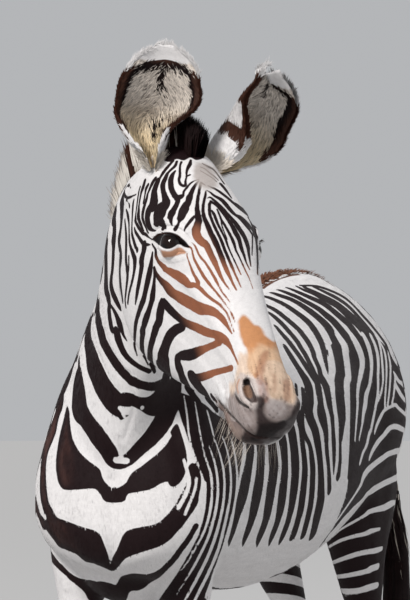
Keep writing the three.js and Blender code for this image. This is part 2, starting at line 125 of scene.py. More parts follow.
# ---- Camera ---------------------------------------------------------------------------------
VIEW_WIDTH = 410
VIEW_HEIGHT = 600
FOCAL_PIXELS = 3060.0
CAMERA_AZIMUTH = math.radians(22)
CAMERA_PLACE = np.array((2601.0, -6539.0, 1415.0))
SENSOR = 36.0
VIEW_AXIS = np.array((-math.sin(CAMERA_AZIMUTH), math.cos(CAMERA_AZIMUTH), 0.0))
VIEW_RIGHT = np.array((math.cos(CAMERA_AZIMUTH), math.sin(CAMERA_AZIMUTH), 0.0))


def to_view(points):
    """Drawing millimetres to pixels of the view, and depth."""
    away = np.asarray(points, float) - CAMERA_PLACE
    depth = away @ VIEW_AXIS
    x = VIEW_WIDTH / 2 + FOCAL_PIXELS * (away @ VIEW_RIGHT) / depth
    y = VIEW_HEIGHT / 2 - FOCAL_PIXELS * away[..., 2] / depth
    return np.stack((x, y), -1), depth


def sight_line(x, y):
    ray = VIEW_AXIS * FOCAL_PIXELS + VIEW_RIGHT * (x - VIEW_WIDTH / 2)
    ray = ray + np.array((0, 0, VIEW_HEIGHT / 2 - y))
    return ray / np.linalg.norm(ray)


# ---- Small helpers --------------------------------------------------------------------------
def ease(low, high, value):
    t = np.clip((value - low) / (high - low), 0.0, 1.0)
    return t * t * (3 - 2 * t)


def hump(value, middle, spread):
    return np.exp(-(((value - middle) / spread) ** 2))


def blend(a, b, share):
    """a where the share is 0, b where it is 1."""
    return np.asarray(a) * (1 - share) + np.asarray(b) * share


def unit(vectors):
    vectors = np.asarray(vectors, float)
    return vectors / np.maximum(np.linalg.norm(vectors, axis=-1, keepdims=True), 1e-9)


def through(values, t):
    """A value that runs smoothly through a list, at t from 0 to 1; values may be vectors."""
    values = np.asarray(values, float)
    last = len(values) - 1
    place = np.clip(np.asarray(t, float) * last, 0, last - 1e-9)
    i = np.floor(place).astype(int)
    f = place - i
    if values.ndim > 1:
        f = f[..., None]
    a, b = values[np.maximum(i - 1, 0)], values[i]
    c, d = values[np.minimum(i + 1, last)], values[np.minimum(i + 2, last)]
    before, after, rise = (c - a) / 2, (d - b) / 2, c - b
    return b + f * (before + f * (3 * rise - 2 * before - after + f * (before + after - 2 * rise)))


def dense(path, step):
    """A polyline of rows resampled smoothly at about the given step; extra columns ride along."""
    path = np.asarray(path, float)
    length = np.linalg.norm(np.diff(path[:, :3], axis=0), axis=1).sum()
    count = max(2, int(length / step) + 1)
    return through(path, np.linspace(0, 1, count))


def add_piece(name, data, look=None):
    """Puts a mesh, a light or a camera into the scene."""
    if look:
        data.materials.append(look)
    piece = bpy.data.objects.new(name, data)
    bpy.context.scene.collection.objects.link(piece)
    return piece


def mesh_object(name, vertices, faces):
    mesh = bpy.data.meshes.new(name)
    mesh.from_pydata([tuple(v) for v in vertices], [], [tuple(f) for f in faces])
    mesh.update()
    mesh.shade_smooth()
    return add_piece(name, mesh)


def fast_mesh(name, points, faces):
    """A mesh from arrays of drawing points and of faces that all have the same number of corners."""
    mesh = bpy.data.meshes.new(name)
    mesh.vertices.add(len(points))
    mesh.vertices.foreach_set("co", to_model(points).astype(np.float32).ravel())
    mesh.loops.add(faces.size)
    mesh.loops.foreach_set("vertex_index", faces.astype(np.int32).ravel())
    mesh.polygons.add(len(faces))
    mesh.polygons.foreach_set("loop_start", np.arange(0, faces.size, faces.shape[1], dtype=np.int32))
    mesh.update(calc_edges=True)
    mesh.validate()
    return mesh


def read(rows, key, width=3, kind=np.float32):
    """One property of every row of a mesh's data."""
    out = np.empty(len(rows) * width, kind)
    rows.foreach_get(key, out)
    return out


def coordinates(mesh):
    return read(mesh.vertices, "co").reshape(-1, 3).astype(float)


def normals_of(mesh):
    return read(mesh.vertex_normals, "vector").reshape(-1, 3).astype(float)


def set_coordinates(mesh, points):
    mesh.vertices.foreach_set("co", np.asarray(points, np.float32).ravel())
    mesh.update()


# ---- Skin -----------------------------------------------------------------------------------
SKIN_VOXEL = 12.0
FLESH_GROWTH = 0.8
WELD = 2e-5
BRISKET_PLACE = (6.0, -500.0, 850.0)
BRISKET_SIZE = (128.0, 135.0, 92.0)


def eye_middle(side):
    return from_head(EYE_PLACE * (side, 1, 1))


def eye_gap(points):
    """How far each point lies from the middle of the nearer eye."""
    return np.minimum(*(np.linalg.norm(points - eye_middle(side), axis=1) for side in (-1, 1)))


def flesh_shell():
    """The flesh nodes as one mesh, in drawing millimetres, each grown a little so that they meet."""
    whole = bmesh.new()
    for name in FLESH:
        single = bmesh.new()
        single.from_mesh(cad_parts[name].data)
        bmesh.ops.remove_doubles(single, verts=single.verts, dist=WELD)
        bmesh.ops.recalc_face_normals(single, faces=single.faces)
        single.normal_update()
        for v in single.verts:
            v.co = Vector(to_drawing(v.co)) + v.normal * FLESH_GROWTH
        if name == "head":
            for side in (-1, 1):
                place = Matrix.Translation(Vector(eye_middle(side)))
                bmesh.ops.create_icosphere(single, subdivisions=3, radius=EYE_RADIUS + 1.5, matrix=place)
        mesh = bpy.data.meshes.new("grown")
        single.to_mesh(mesh)
        single.free()
        whole.from_mesh(mesh)
        bpy.data.meshes.remove(mesh)
    brisket = Matrix.LocRotScale(Vector(BRISKET_PLACE), None, Vector(BRISKET_SIZE))
    bmesh.ops.create_icosphere(whole, subdivisions=4, radius=1.0, matrix=brisket)
    mesh = bpy.data.meshes.new("flesh")
    whole.to_mesh(mesh)
    whole.free()
    return add_piece("flesh", mesh)


def with_modifier(piece, kind, **settings):
    """Replaces a piece's mesh by that mesh with one modifier applied."""
    modifier = piece.modifiers.new("step", kind)
    for key, value in settings.items():
        setattr(modifier, key, value)
    graph = bpy.context.evaluated_depsgraph_get()
    made = bpy.data.meshes.new_from_object(piece.evaluated_get(graph))
    piece.modifiers.clear()
    old = piece.data
    piece.data = made
    bpy.data.meshes.remove(old)


class Links:
    """The edges of a mesh, for smoothing its points."""

    def __init__(self, mesh):
        pairs = read(mesh.edges, "vertices", 2, np.int32).reshape(-1, 2)
        self.a, self.b = pairs[:, 0], pairs[:, 1]
        self.count = len(mesh.vertices)
        self.degree = np.bincount(pairs.ravel(), minlength=self.count).clip(1)

    def mean(self, values):
        out = np.empty_like(values)
        for k, v in enumerate(values.T):
            total = np.bincount(self.a, v[self.b], self.count) + np.bincount(self.b, v[self.a], self.count)
            out[:, k] = total / self.degree
        return out

    def relax(self, points, rounds, weight, back=0.53):
        """Smooths without shrinking; weight says how much at each point."""
        weight = weight[:, None]
        for _ in range(rounds):
            points = points + 0.5 * weight * (self.mean(points) - points)
            if back:
                points = points - back * weight * (self.mean(points) - points)
        return points


def head_share(points):
    """1 on the head, 0 on the neck, in drawing millimetres."""
    local = to_head(points)
    near = ease(-400, -330, local[:, 2]) * ease(190, 110, np.abs(local[:, 0]))
    return ease(60, -30, local[:, 1] + 0.15 * local[:, 2]) * near


def leg_share(z):
    """1 on the legs, 0 on the trunk."""
    return ease(900, 760, z)


def refine(piece, share):
    """Halves the edges where share(points) says so, and smooths what it made."""
    mesh = piece.data
    inside = share(coordinates(mesh))
    fine = bmesh.new()
    fine.from_mesh(mesh)
    fine.verts.ensure_lookup_table()
    edges = [e for e in fine.edges if inside[e.verts[0].index] and inside[e.verts[1].index]]
    bmesh.ops.subdivide_edges(fine, edges=edges, cuts=1, use_grid_fill=True)
    fine.to_mesh(mesh)
    fine.free()
    points = coordinates(mesh)
    weight = share(points).astype(float)
    set_coordinates(mesh, Links(mesh).relax(points, 2, weight, back=0))


def face_region(points):
    """The brow, the eyes, the nose and the lips, where the skin is finest."""
    local = to_head(points)
    brow = (local[:, 1] < -35) & (local[:, 1] > -345) & (local[:, 2] > -150)
    nose = (local[:, 1] < -470) & (np.abs(local[:, 0]) < 120)
    return (brow | nose) & (head_share(points) > 0.5)


def build_skin_form():
    """The smooth form of the flesh, in drawing millimetres, inside the nodes by the coat's depth."""
    piece = flesh_shell()
    with_modifier(piece, "REMESH", mode="VOXEL", voxel_size=SKIN_VOXEL)
    mesh = piece.data
    links = Links(mesh)
    points = coordinates(mesh)
    head = head_share(points)
    leg = leg_share(points[:, 2])
    points = links.relax(points, 12, (1 - 0.65 * head) * (1 - 0.55 * leg))
    body = (1 - head) * (1 - leg)
    points = links.relax(points, 40, body)
    throat = hump(points[:, 1], -640, 190) * hump(points[:, 2], 1180, 330) * body
    points = links.relax(points, 55, throat, back=0.51)
    set_coordinates(mesh, points)
    points = points - normals_of(mesh) * (4.0 - 2.4 * head - 1.2 * leg)[:, None]
    set_coordinates(mesh, points)
    with_modifier(piece, "SUBSURF", levels=1, render_levels=1)
    refine(piece, lambda p: (head_share(p) > 0.02) | ((p[:, 2] > 1130) & (p[:, 1] < -600)))
    refine(piece, face_region)
    refine(piece, lambda p: eye_gap(p) < 50)
    return piece


# Lines pressed into the skin or raised from it, as strokes of the view, with the height of
# each in millimetres and how softly it ends. The head's are mirrored to its other side.
FOLDS = [
    ("245.5,381,5 246,386,7 247.5,391,8 250,396,6.5 253.5,401,3", -9.0, 2.5),
    ("249,379.5,1.5 251.5,385,2 254,391,2 256.5,398,1.6 257,402,1", -3.0, 1.2),
    ("240,379,3 239,386,4 240.5,393,4 245,400,4 251,406,3.5", 2.6, 5.0),
    ("247,375,3 253,377,5 258,385,6 261,394,6 260,403,4", 3.0, 6.0),
    ("235,394,1 238,399.5,2 242,403.5,2.6 248,407.5,2", -3.4, 1.6),
    ("215.5,396,1 220,402,1.6 226,409.5,1.8 233,417,1.8 240,424.5,1.8 247,432,1.8 256,437,1.8 266,438,1.8", -4.2, 1.6),
    ("222,396,7 229,403,8 236,411,9 243,419,9 250,427,9", 2.0, 7.0),
    ("218,405,4 222,413,6 228,421,7 234,430,7 240,438,6", 2.2, 6.0),
    ("224,420,2 231,431,2 239,440,2", -1.6, 4.0),
    ("186,281,6 200,297,7 212,318,7 222,338,6", 3.2, 10.0),
    ("150,262,5 147,290,6 146,325,7 155,352,8 175,374,8", 1.6, 9.0),
    ("163,291,10 175,318,14 190,338,14", -1.6, 12.0),
    ("205,352,16 222,372,14 228,384,10", -2.4, 12.0),
    ("170,214,6 182,216,8 192,224,7", -2.2, 9.0),
    ("154,231.5,1.2 160,227.8,1.4 168,226,1.4 176,227.2,1.4 184,232,1.2 190,239,1", -1.5, 1.6),
    ("155,225,4 166,221,6 178,223,6 187,231,4", 2.2, 6.0),
    ("157,249,1 163,253.2,1.2 170,254.6,1.2 178,252,1.2 186,252.5,1", -1.2, 1.8),
    ("160,258,3 172,260.5,3.6 184,258,3", 1.0, 4.0),
    ("182,243,2.2 188,248,2 191.5,252,1.2", -1.6, 1.8),
]
BODY_FOLDS = [
    ("112,480,5 112,520,5 112,565,5", -5.0, 16.0),
    ("128,372,2 134,392,2 133,412,2 124,440,2", -1.6, 7.0),
    ("104,330,2 112,352,2 126,372,2", -1.3, 7.0),
    ("98,352,2 108,376,2 122,398,2", -1.2, 7.0),
    ("60,415,8 54,460,10 58,500,10", -3.0, 18.0),
    ("176,440,8 184,470,10 178,505,9", -3.0, 16.0),
    ("80,470,20 88,510,24 92,550,20", 3.0, 26.0),
    ("140,470,20 140,510,24 138,550,20", 3.0, 26.0),
]

# The slit of the right eye in the view, a little inside the dark of the lids.
EYE_SLIT = (
    "155.2,239.4 158.6,235.9 162,234.3 166,233.8 170,233.9 174,234.8 177.5,236.9 180.8,239.8 184,242.8 186.2,245.4"
    " 183.5,245.2 181,243.6 178.4,243 175.6,244.4 172.2,246.6 168.6,247.7 164.8,247 161.6,244.9 158.6,242.2"
)


def off_segment(places, a, b):
    """How far along the line from a to b each place lies, 0 to 1, and its distance from that line."""
    step = b - a
    away = places - a
    t = np.clip(away @ step / max(step @ step, 1e-9), 0, 1)
    return t, np.linalg.norm(away - t[:, None] * step, axis=1)


def outline_depth(spots, outline, step=0.7):
    """How far each spot of the view lies inside a closed outline; negative outside."""
    closed = np.vstack((outline, outline[:1]))
    path = dense(np.column_stack((closed, np.zeros(len(closed)))), step)[:, :2]
    gap = np.full(len(spots), 1e9)
    inside = np.zeros(len(spots), bool)
    for a, b in zip(path[:-1], path[1:]):
        gap = np.minimum(gap, off_segment(spots, a, b)[1])
        if a[1] != b[1]:
            crossing = (a[1] > spots[:, 1]) != (b[1] > spots[:, 1])
            inside ^= crossing & (spots[:, 0] < a[0] + (spots[:, 1] - a[1]) / (b[1] - a[1]) * (b[0] - a[0]))
    return np.where(inside, gap, -gap)


def within(places, outline, margin):
    """Which places lie in the box round an outline, widened by a margin."""
    return ((places > outline.min(0) - margin) & (places < outline.max(0) + margin)).all(1)


def mirrored(points):
    """Points reflected to the other side of the head."""
    return from_head(to_head(points) * (-1, 1, 1))


def eye_depth(points, side):
    """How far points near one eye lie inside its slit, in millimetres, and their way from the right eye."""
    near = points if side < 0 else mirrored(points)
    spots, depth = to_view(near)
    return outline_depth(spots, parse(EYE_SLIT)) * depth / FOCAL_PIXELS, near - eye_middle(-1)


def shape_lids(points):
    """Lays the skin over the eyeballs as lids, and opens the slit between them."""
    axis = unit(unit(CAMERA_PLACE - eye_middle(-1)) + 0.5 * head_way(-1.0, 0, 0))
    for side in (-1, 1):
        middle = eye_middle(side)
        chosen = np.where(np.linalg.norm(points - middle, axis=1) < 47)[0]
        inside, away = eye_depth(points[chosen], side)
        front = unit(away) @ axis > 0.1
        ray = unit(points[chosen] - middle)
        reach = np.linalg.norm(points[chosen] - middle, axis=1)
        over = np.maximum(reach, EYE_RADIUS + 0.6 + 2.4 * ease(0.4, -2.6, inside))
        new = blend(over, EYE_RADIUS - 5, ease(-0.5, 0.5, inside))
        points[chosen] = np.where(front[:, None], middle + ray * new[:, None], points[chosen])
    return points


def sculpt(piece):
    mesh = piece.data
    canvas = Canvas(mesh)
    points = canvas.points.copy()
    for folds, both in ((FOLDS, True), (BODY_FOLDS, False)):
        for text, height, spread in folds:
            for run in canvas.cast(parse(text)):
                runs = [run]
                if both:
                    runs.append(np.column_stack((mirrored(run[:, :3]), run[:, 3])))
                push = np.zeros(len(points))
                for line in runs:
                    chosen, depth = canvas.inside(line, reach=spread * 1.2)
                    push[chosen] = np.maximum(push[chosen], ease(-spread, 0.5 * spread, depth))
                points += canvas.normals * (push * height)[:, None]
    set_coordinates(mesh, shape_lids(points))


# ---- Painting -------------------------------------------------------------------------------
# A stroke is "x,y,w x,y,w ...": a line through pixels of the view with its width there.
# Strokes are thrown onto the skin along the sight lines and kept there as lines in space.
STROKE_STEP = 1.3
SKIN_REACH = 20000
SKIN_GAP = 60  # two places further apart than this belong to two runs
UNMARKED = -40.0


def parse(text):
    return np.array([[float(v) for v in spot.split(",")] for spot in text.split()])


def strokes(block):
    return [parse(line) for line in block.strip().splitlines()]


class Canvas:
    """The skin's points, and how far each lies inside a dark stripe, in millimetres."""

    def __init__(self, mesh):
        self.points = coordinates(mesh)
        self.normals = normals_of(mesh)
        loops = read(mesh.loops, "vertex_index", 1, np.int32)
        totals = read(mesh.polygons, "loop_total", 1, np.int32)
        self.faces = [loops[e - t : e] for e, t in zip(np.cumsum(totals), totals)]
        self.tree = BVHTree.FromPolygons(self.points.tolist(), [f.tolist() for f in self.faces])
        self.spots, self.depth = to_view(self.points)
        self.field = np.full(len(self.points), UNMARKED)

    def cast(self, path, allowed=None, widen=1.0):
        """The stroke as rows of x, y, z and half width on the skin, in unbroken runs."""
        path = dense(np.column_stack((path[:, :2], np.zeros(len(path)), path[:, 2])), STROKE_STEP)
        camera = Vector(CAMERA_PLACE)
        runs, last = [[]], None
        for (x, y, _, width), (tx, ty) in zip(path, unit(np.gradient(path[:, :2], axis=0))):
            ray = Vector(sight_line(x, y))
            place, normal = self.tree.ray_cast(camera, ray, SKIN_REACH)[:2]
            if place is not None and allowed and not allowed(place):
                place = last = None
            if place is None and last is not None:
                place, normal, _, far = self.tree.find_nearest(camera + ray * (last - camera).length)
                if far > 25:
                    place = None
            if place is None or (last is not None and (place - last).length > SKIN_GAP):
                runs.append([])
            last = place
            if place is None:
                continue
            p, n = np.array(place), np.array(normal)
            look = unit(p - CAMERA_PLACE)
            scale = (p - CAMERA_PLACE) @ VIEW_AXIS / FOCAL_PIXELS
            flat = np.array([VIEW_RIGHT * dx - np.array((0, 0, dy)) for dx, dy in ((tx, ty), (-ty, tx))]) * scale
            along, side = flat - np.outer(flat @ n, look) / min(look @ n, -0.22)
            along = unit(along)
            half = np.linalg.norm(side - along * (side @ along)) * width * widen / 2
            runs[-1].append((*p, half))
        return [np.array(run) for run in runs if len(run) > 1]

    def inside(self, run, reach=14.0):
        """The points near a run, and how far inside it each lies (negative outside)."""
        margin = run[:, 3].max() + reach
        chosen = np.where(within(self.points, run[:, :3], margin))[0]
        near, best = self.points[chosen], np.full(len(chosen), -margin)
        for a, b in zip(run[:-1], run[1:]):
            t, gap = off_segment(near, a[:3], b[:3])
            best = np.maximum(best, blend(a[3], b[3], t) - gap)
        return chosen, best

    def stroke(self, path, pale=False, allowed=None, widen=1.0):
        for run in self.cast(path, allowed, widen):
            chosen, depth = self.inside(run)
            old = self.field[chosen]
            self.field[chosen] = np.minimum(old, -depth) if pale else np.maximum(old, depth)

    def patch(self, outline, region):
        """Darkens a closed outline of the view on a region of the skin that faces the camera."""
        facing = ((self.points - CAMERA_PLACE) * self.normals).sum(1) < 0
        chosen = np.where(within(self.spots, outline, 12) & facing & region)[0]
        depth = outline_depth(self.spots[chosen], outline, 1.5) * self.depth[chosen] / FOCAL_PIXELS
        self.field[chosen] = np.maximum(self.field[chosen], depth)

    def seen(self):
        """How plainly the camera sees each point, 0 to 1."""
        away = CAMERA_PLACE - self.points
        reach = np.linalg.norm(away, axis=1)
        facing = (away * self.normals).sum(1) / reach
        view = ease(0.06, 0.2, facing)
        for i in np.where(facing > 0.05)[0]:
            p = self.points[i] + self.normals[i] * 3
            if self.tree.ray_cast(Vector(p), Vector(away[i] / reach[i]), reach[i])[0] is not None:
                view[i] = 0
        return view

    def sample(self, places, values):
        """The values of the skin nearest to each place."""
        out = np.empty((len(places), values.shape[1]))
        for i, place in enumerate(places):
            corners = self.faces[self.tree.find_nearest(Vector(place))[2]]
            weight = 1 / (((self.points[corners] - place) ** 2).sum(1) + 0.05)
            out[i] = weight @ values[corners] / weight.sum()
        return out


CHEEK = """
124.4,193.8,1.5 126,197.5,2.5 129.6,197.5,2.5 133,196,1.5 136.1,194.4,1
126.1,200,2 128,202,0.8 129.3,205,1.5 129.6,208,0.6
122.4,169.4,1.5 124.6,173,2 126.8,177,3.5 126.8,181,5.5 128.6,185,3 131,188,1
126.1,209.7,1 127.4,213.8,2 128.3,218,2 128.9,222.5,1.3 129.1,230.6,1.2 129.6,243,1.8 133,253.8,3.2 134.8,260,3.4 134.3,270,2.2 132.6,279.2,2 129,293.7,1.5 127.8,303,1.3
124.8,220,1 126.1,237.5,1.9 125.9,258.8,1.8 126.8,268.7,2.2 127.4,276.6,2 125.8,292.4,1.5 125.1,300,1.2 125.8,306.8,1
128.8,256,1 128.7,268.7,1.2 127.5,275,1
133.9,200,1 133,205,1.4 132.1,220,1.2 131.8,231,1.4 132.4,236,2 135.2,245.6,2.6 137.1,249.4,2.6 137.2,251.6,1
134.2,227.5,1 135.5,231.9,2 137.7,235.6,2.6 140.5,240,2.8 143.6,243.8,3.5 146.8,244.7,3.2 150.5,244.7,1.2
144.2,245,4 144.2,248,4 143.3,252.5,3.6 142,257.5,4 141.4,261.6,4 141.6,266,3.6 140.5,274,3.3 137.6,289.7,2.8 136.3,297.6,2.2 135.3,304.2,1
140.2,186.9,1 138.6,193,1.2 136,212.5,1 135.5,218,1.6 136.1,223,2.4 141.8,231.9,3 145.5,234.4,2.8 149.2,237.5,1.6 151.8,239.4,1.5
144.9,181,2 143,187.5,2.2 141.1,193,1.6 139.2,203.8,1.2 138.6,211,2 138.3,216,2.6 139.2,220.6,2.5 143,229.4,1.6 144.2,230.6,1
148,185,2 146.1,188.8,2 144.9,195,1.2 143.6,202.5,1.5
155.5,178.4,2 152.4,183,2.4 148,193,1.6 146.8,198,2 143.6,208.8,2.2 142.6,215,2.2 143.1,220,2 146.8,230,1.4 148.6,233,1.2
158,180.6,3.5 154.2,191,4.5 153.6,201,6.5 153,205,6.5 149.9,208.8,5 148,213,4.6 147.4,218,4 148,223,4.2 149.9,227.5,4 152.4,230,2.8 156.1,230.6,1
152.5,253,1.5 149.6,271.2,4 143.9,297.3,4 141.2,305.6,3.8 136,322.3,3 134.5,341,2 135,348.3,1.6 137.1,355.6,1.2
154.3,281.7,2.5 152.9,295.2,4.2 151.1,303.5,4 145.4,320.2,5 143.3,327.5,4.2 142.3,335.8,4 141.8,344.2,3.5 142.8,352.5,3.2 145.4,358.8,2 148.5,365,1.5
162,300.4,3 161,306.7,5.5 160,314,6 159,321.2,6 155.8,328.5,5.6 151.1,345.2,4.6 150.1,353.5,4.4 150.6,360.8,4.4 152.7,367,4 154.8,372.3,3
182.9,326.5,7 176.7,329.6,8 171.5,333.8,8 167.8,340,7.5 165.2,347.3,7.5 163.6,354.6,8.5 163.6,361.9,9.5 164.2,369.2,10 166.2,375.4,10
219.4,342,6 213.1,345.2,5.5 205.8,348.3,6 198.5,351.5,8 191.2,354.6,9.5 184,355.6,8.5 178.8,356.7,6 177.7,361.9,5 179.8,369.2,5 182.9,377.5,5.5 186.6,385.8,5 192.3,394.2,5 198.5,401.5,4
231.4,368,5 223.5,370.2,5 215.2,372.3,5.5 206.9,375.4,6.5 199.6,377.5,7 193.3,378.5,7 196.5,383.8,7 200.6,390,5.5 211,402.5,3.5 216.3,409.8,3
212.6,397.3,3 216.2,401.5,2
154.3,268.1,2 156.4,274.4,3 161,280.6,4.5 166.2,285.8,6 171.5,292,7 177.7,296.2,8 185,300.4,9 199.6,308.2,9.5 206.9,309.8,8.5 213.1,311.9,7 218.3,315,5.5 223.5,320.2,4.5 231.9,333.8,1.2
154.3,268.1,2 154.6,275,2.2 154.3,281.7,2.5
164.2,301.5,4 168.3,307.7,6 174.6,314,6 180.8,319.2,5.5 187,323.3,6 200.6,329.6,7 207.9,332.7,7 214.2,334.3,6.5 220.4,336.9,7 225.6,341,6 229.8,346.2,3.5 234,354.6,1.8 238.1,364,1.4
152,244,1.5 155.5,250,2 156,256,2.5 159,262,3 164,267.5,4.5 166.2,269.7,5 172.5,272.8,6.5 178.8,276.5,7.5 184,280.6,7 189.2,284.8,5.5 195.4,285.3,4 200.6,289,3.6 205.8,294.2,3 212,299.4,2.6 218.3,303.5,2.2 223.5,308.8,1.8 227.7,315,1.6 234,331.7,0.8
185.6,246,2 190.4,247.4,1.5 192.1,250.5,1.2 192.8,254.3,1.6 193.9,258.4,1.8 195.9,262.6,2.4 202.1,273.6,2.6 205.6,279.1,2.6 213.9,289.5,2 218,294.3,2 226.3,305.3,1.3 229.7,310.2,1.2 232.5,315.7,1.8 235.2,322.6,0.8
191.8,242.6,0.8 194.6,245.3,1.4 196.6,249.5,1.8 198.7,254.3,1.8 202.1,259.1,2 206.3,264,2 214.6,277.8,2.4 221.4,290.9,1.6 225.6,296.4,1.4 229.7,301.9,0.8
187,253.6,1 187.7,258.4,1 193.2,272.9,2.2 195.9,277.8,2.4 198,282.6,3.5 198,286,3
"""

FOREHEAD = """
249,219,1 253.5,228,1.8 256.2,238,2 257.4,250,1.8 257.6,274,1.2
176.9,161.4,2.2 175,165.8,2.5 171.9,168.9,2 168.1,172.6,2 166.2,176,3 163,184,4.2 163,190,4.2 164.2,195,4.8 165.2,200,6 165.2,205,6.8 162.4,209.4,7 159.9,213,9.5 159.2,217.5,8.5 160.5,221,6.5 163,225,4.5 166,228.4,1.5
173,160.8,2 164.2,171.2,2.5 159.2,179.4,1.8
175.3,171,1.5 172.5,174.5,3 170.9,178.9,4.2 170.6,184.5,4.8 171.9,190,4.8 174.4,195,5 177.2,198.2,5 177.5,202,4 173.1,210.8,4.6 171.2,215,5.2 170.9,219.5,3.2 171.6,224.5,1.5
177.2,198,4 180,197,4 183.1,195,2 183.8,191.4,1.8 186.9,187.6,2 190,183.9,1.6 194.4,180.8,1 198.8,179.5,0.8
181.4,162,2 180,166.4,2 179.8,175.8,2.4 179,180,2.2 180.3,184,2.5 182.8,185.8,2.5 185.3,185,2.4 185.6,180.8,2 186.6,176.4,1.4 186.6,172,1.8 188.1,167.6,2.6 190,163.9,3 190.9,160,1.8
186.6,176.4,1.4 190,174.8,1.2
198.8,180.8,0.8 195.6,184.5,2.2 193.1,188.9,3.4 191.2,193.2,3.8 189.4,197.6,5.4 188.1,202,5.4 185.6,205.8,6.5 183.8,210,7.5 181.9,214.5,6.5 180.6,218.2,5.5 179,222,2.5 177.5,225.8,2.5 175.3,228.9,3.5
194.4,216.4,2 191.2,220,2.6 185.6,227.6,2 184.4,230.8,1
200.9,182.6,1.5 200,187,2.3 198.1,197,2.8 197.2,207,3.8 198.1,216.4,5 198.8,220.8,5.5 197.5,225,6 196.2,229.5,7 196.2,233,7 198.1,237.6,7 201.9,242,6.5 205.6,244.5,6 208.3,248.8,5.2 213.9,260.5,5 216.6,266.7,4 222.1,279,2.2 230.4,290.9,1
205.9,191,1.4 205.3,195.8,2.4 203.1,205.8,2.6 203.8,215.8,3.2 208.1,226.4,4.4 210.6,232.6,4.6 213.8,238.9,5 216.8,245,4.8 219.4,251.6,4.4 222.1,258.4,4.4 224.6,265.3,3.8 233.2,284,2 236.6,290.2,1
211.2,201.7,2 209.8,203.5,2.4 209.4,205.8,2.6 209.5,211.4,2.6 210.6,217,2.4 215,227.6,2.6 220.6,238.9,2.8 224.9,250.2,2.6 231.4,265.3,2.4 234.6,272.9,1.8 238,280.5,1.6 241.1,287.4,0.8
211.2,201.7,2.2 218.1,207,2 229.4,221.4,3 235.6,232.6,4 238.8,238.9,3.6 241.4,248.1,3.2 243.9,255,2.4 246.3,262.6,1.4 249.7,269.5,0.8
211.9,210.8,1.8 214.4,215,2.4 218.1,224.5,2.2 225.6,239.5,2 229,248.8,1.5 240.8,274.3,1
217.2,209.5,1.2 221.2,219.5,1.8 222,225.8,1.2 226.9,239,1.2
221.5,220,1.8 226.9,228.9,2.2 233.1,241,2.6 235.9,250.2,2 239,256.4,1.6 245.6,270.9,1.2 249,277.8,1 253,289,0.6
207.5,198.2,1 210,197.3,1.6 213.8,200,2 222.5,208.2,2.4 226.9,213.2,2.4 235,222.6,3.2 238.1,227,3.6 244.4,237,3.4 247.7,246,3.2 248.7,252.9,2.4 250.8,266,1
206.9,190.4,1 210.6,192.6,1.6 214.4,195.8,2 220,198.9,2.6 223.8,202,3.2 231.2,210.8,3 235,214.5,2.2 239.4,218.2,2 243.8,222.6,2.2 251.2,232.6,1.4 252.5,238.2,1.2 252,255,1
236.9,215,1.2 240.6,217,2 245,220.8,2.4 248.8,225,2 252.5,230.8,1.4 254.4,236.4,1
208.1,185.8,1 211.9,187.6,1.6 216.2,189.5,1.8 225,195.8,2 233.8,203.2,2.2 238.1,206.4,3 246.9,213.2,3 250.6,217,3 254.4,221.4,2.4 257.5,227,1.6 260,233.9,0.8
221.2,184.5,2 225,188.9,2 231.2,197.6,1
200.6,167,0.8 205,168.9,1 210,173.2,1 214.4,176.4,1 218,180,0.8
202.5,163.6,0.8 207.5,166.4,1.6 212.5,168.9,1.4 216.2,172.6,1.2 223.8,183.2,1
200.6,170.8,0.6 211.9,177.6,0.8 216.2,181.4,1
201.2,182.6,1.5 205,185,0.8
"""

NECK_EDGE = """
108.2,225.3,1.5 107.1,234.5,3 106.7,243.7,3.4 106,252.9,3.4 105.8,279.2,3.6 106,288.4,4 108,296.3,4.2 109.3,304.2,3 109,310.8,3.4 110,320,3.6 112,329.2,4.2 116.6,331.8,6
109.3,304.2,3 112.6,308.2,2.5 117.2,317.4,4 119.9,325.3,5 123.2,334.5,2.5 127,341,1
116.8,204.4,1 114.9,208,3 113.9,218,4.5 114.4,225,3.4 114.2,233.8,3.6 113.5,240,4 113.4,249.4,2.9 112.4,268.7,2.6 111.3,276.6,2.6 111,284.5,3 112,291,4 115.3,299,4.4 118.6,305.5,3.6 120.8,310,1.5
124.4,190,1 122.9,195,2.5 121.9,200,3.4 122,205,4.2 122.3,210,4.2 122.1,215,3.1 121,227.5,2.2 119.7,240,3 119.9,249.4,3 120.1,258.8,3.5 119.5,270,3 120.5,285,2.5 122.5,300,1.5
99.9,285.8,2 98.2,296.3,4.5 97.8,306.8,5 97.8,317.4,5.5 101.8,337,6.4 105.4,346.3,7 110.7,355.5,7.4 116.6,364.7,8 124.5,374,8 133.7,381.8,8 144.2,385.5,8 155,386,8 168,380,7
"""

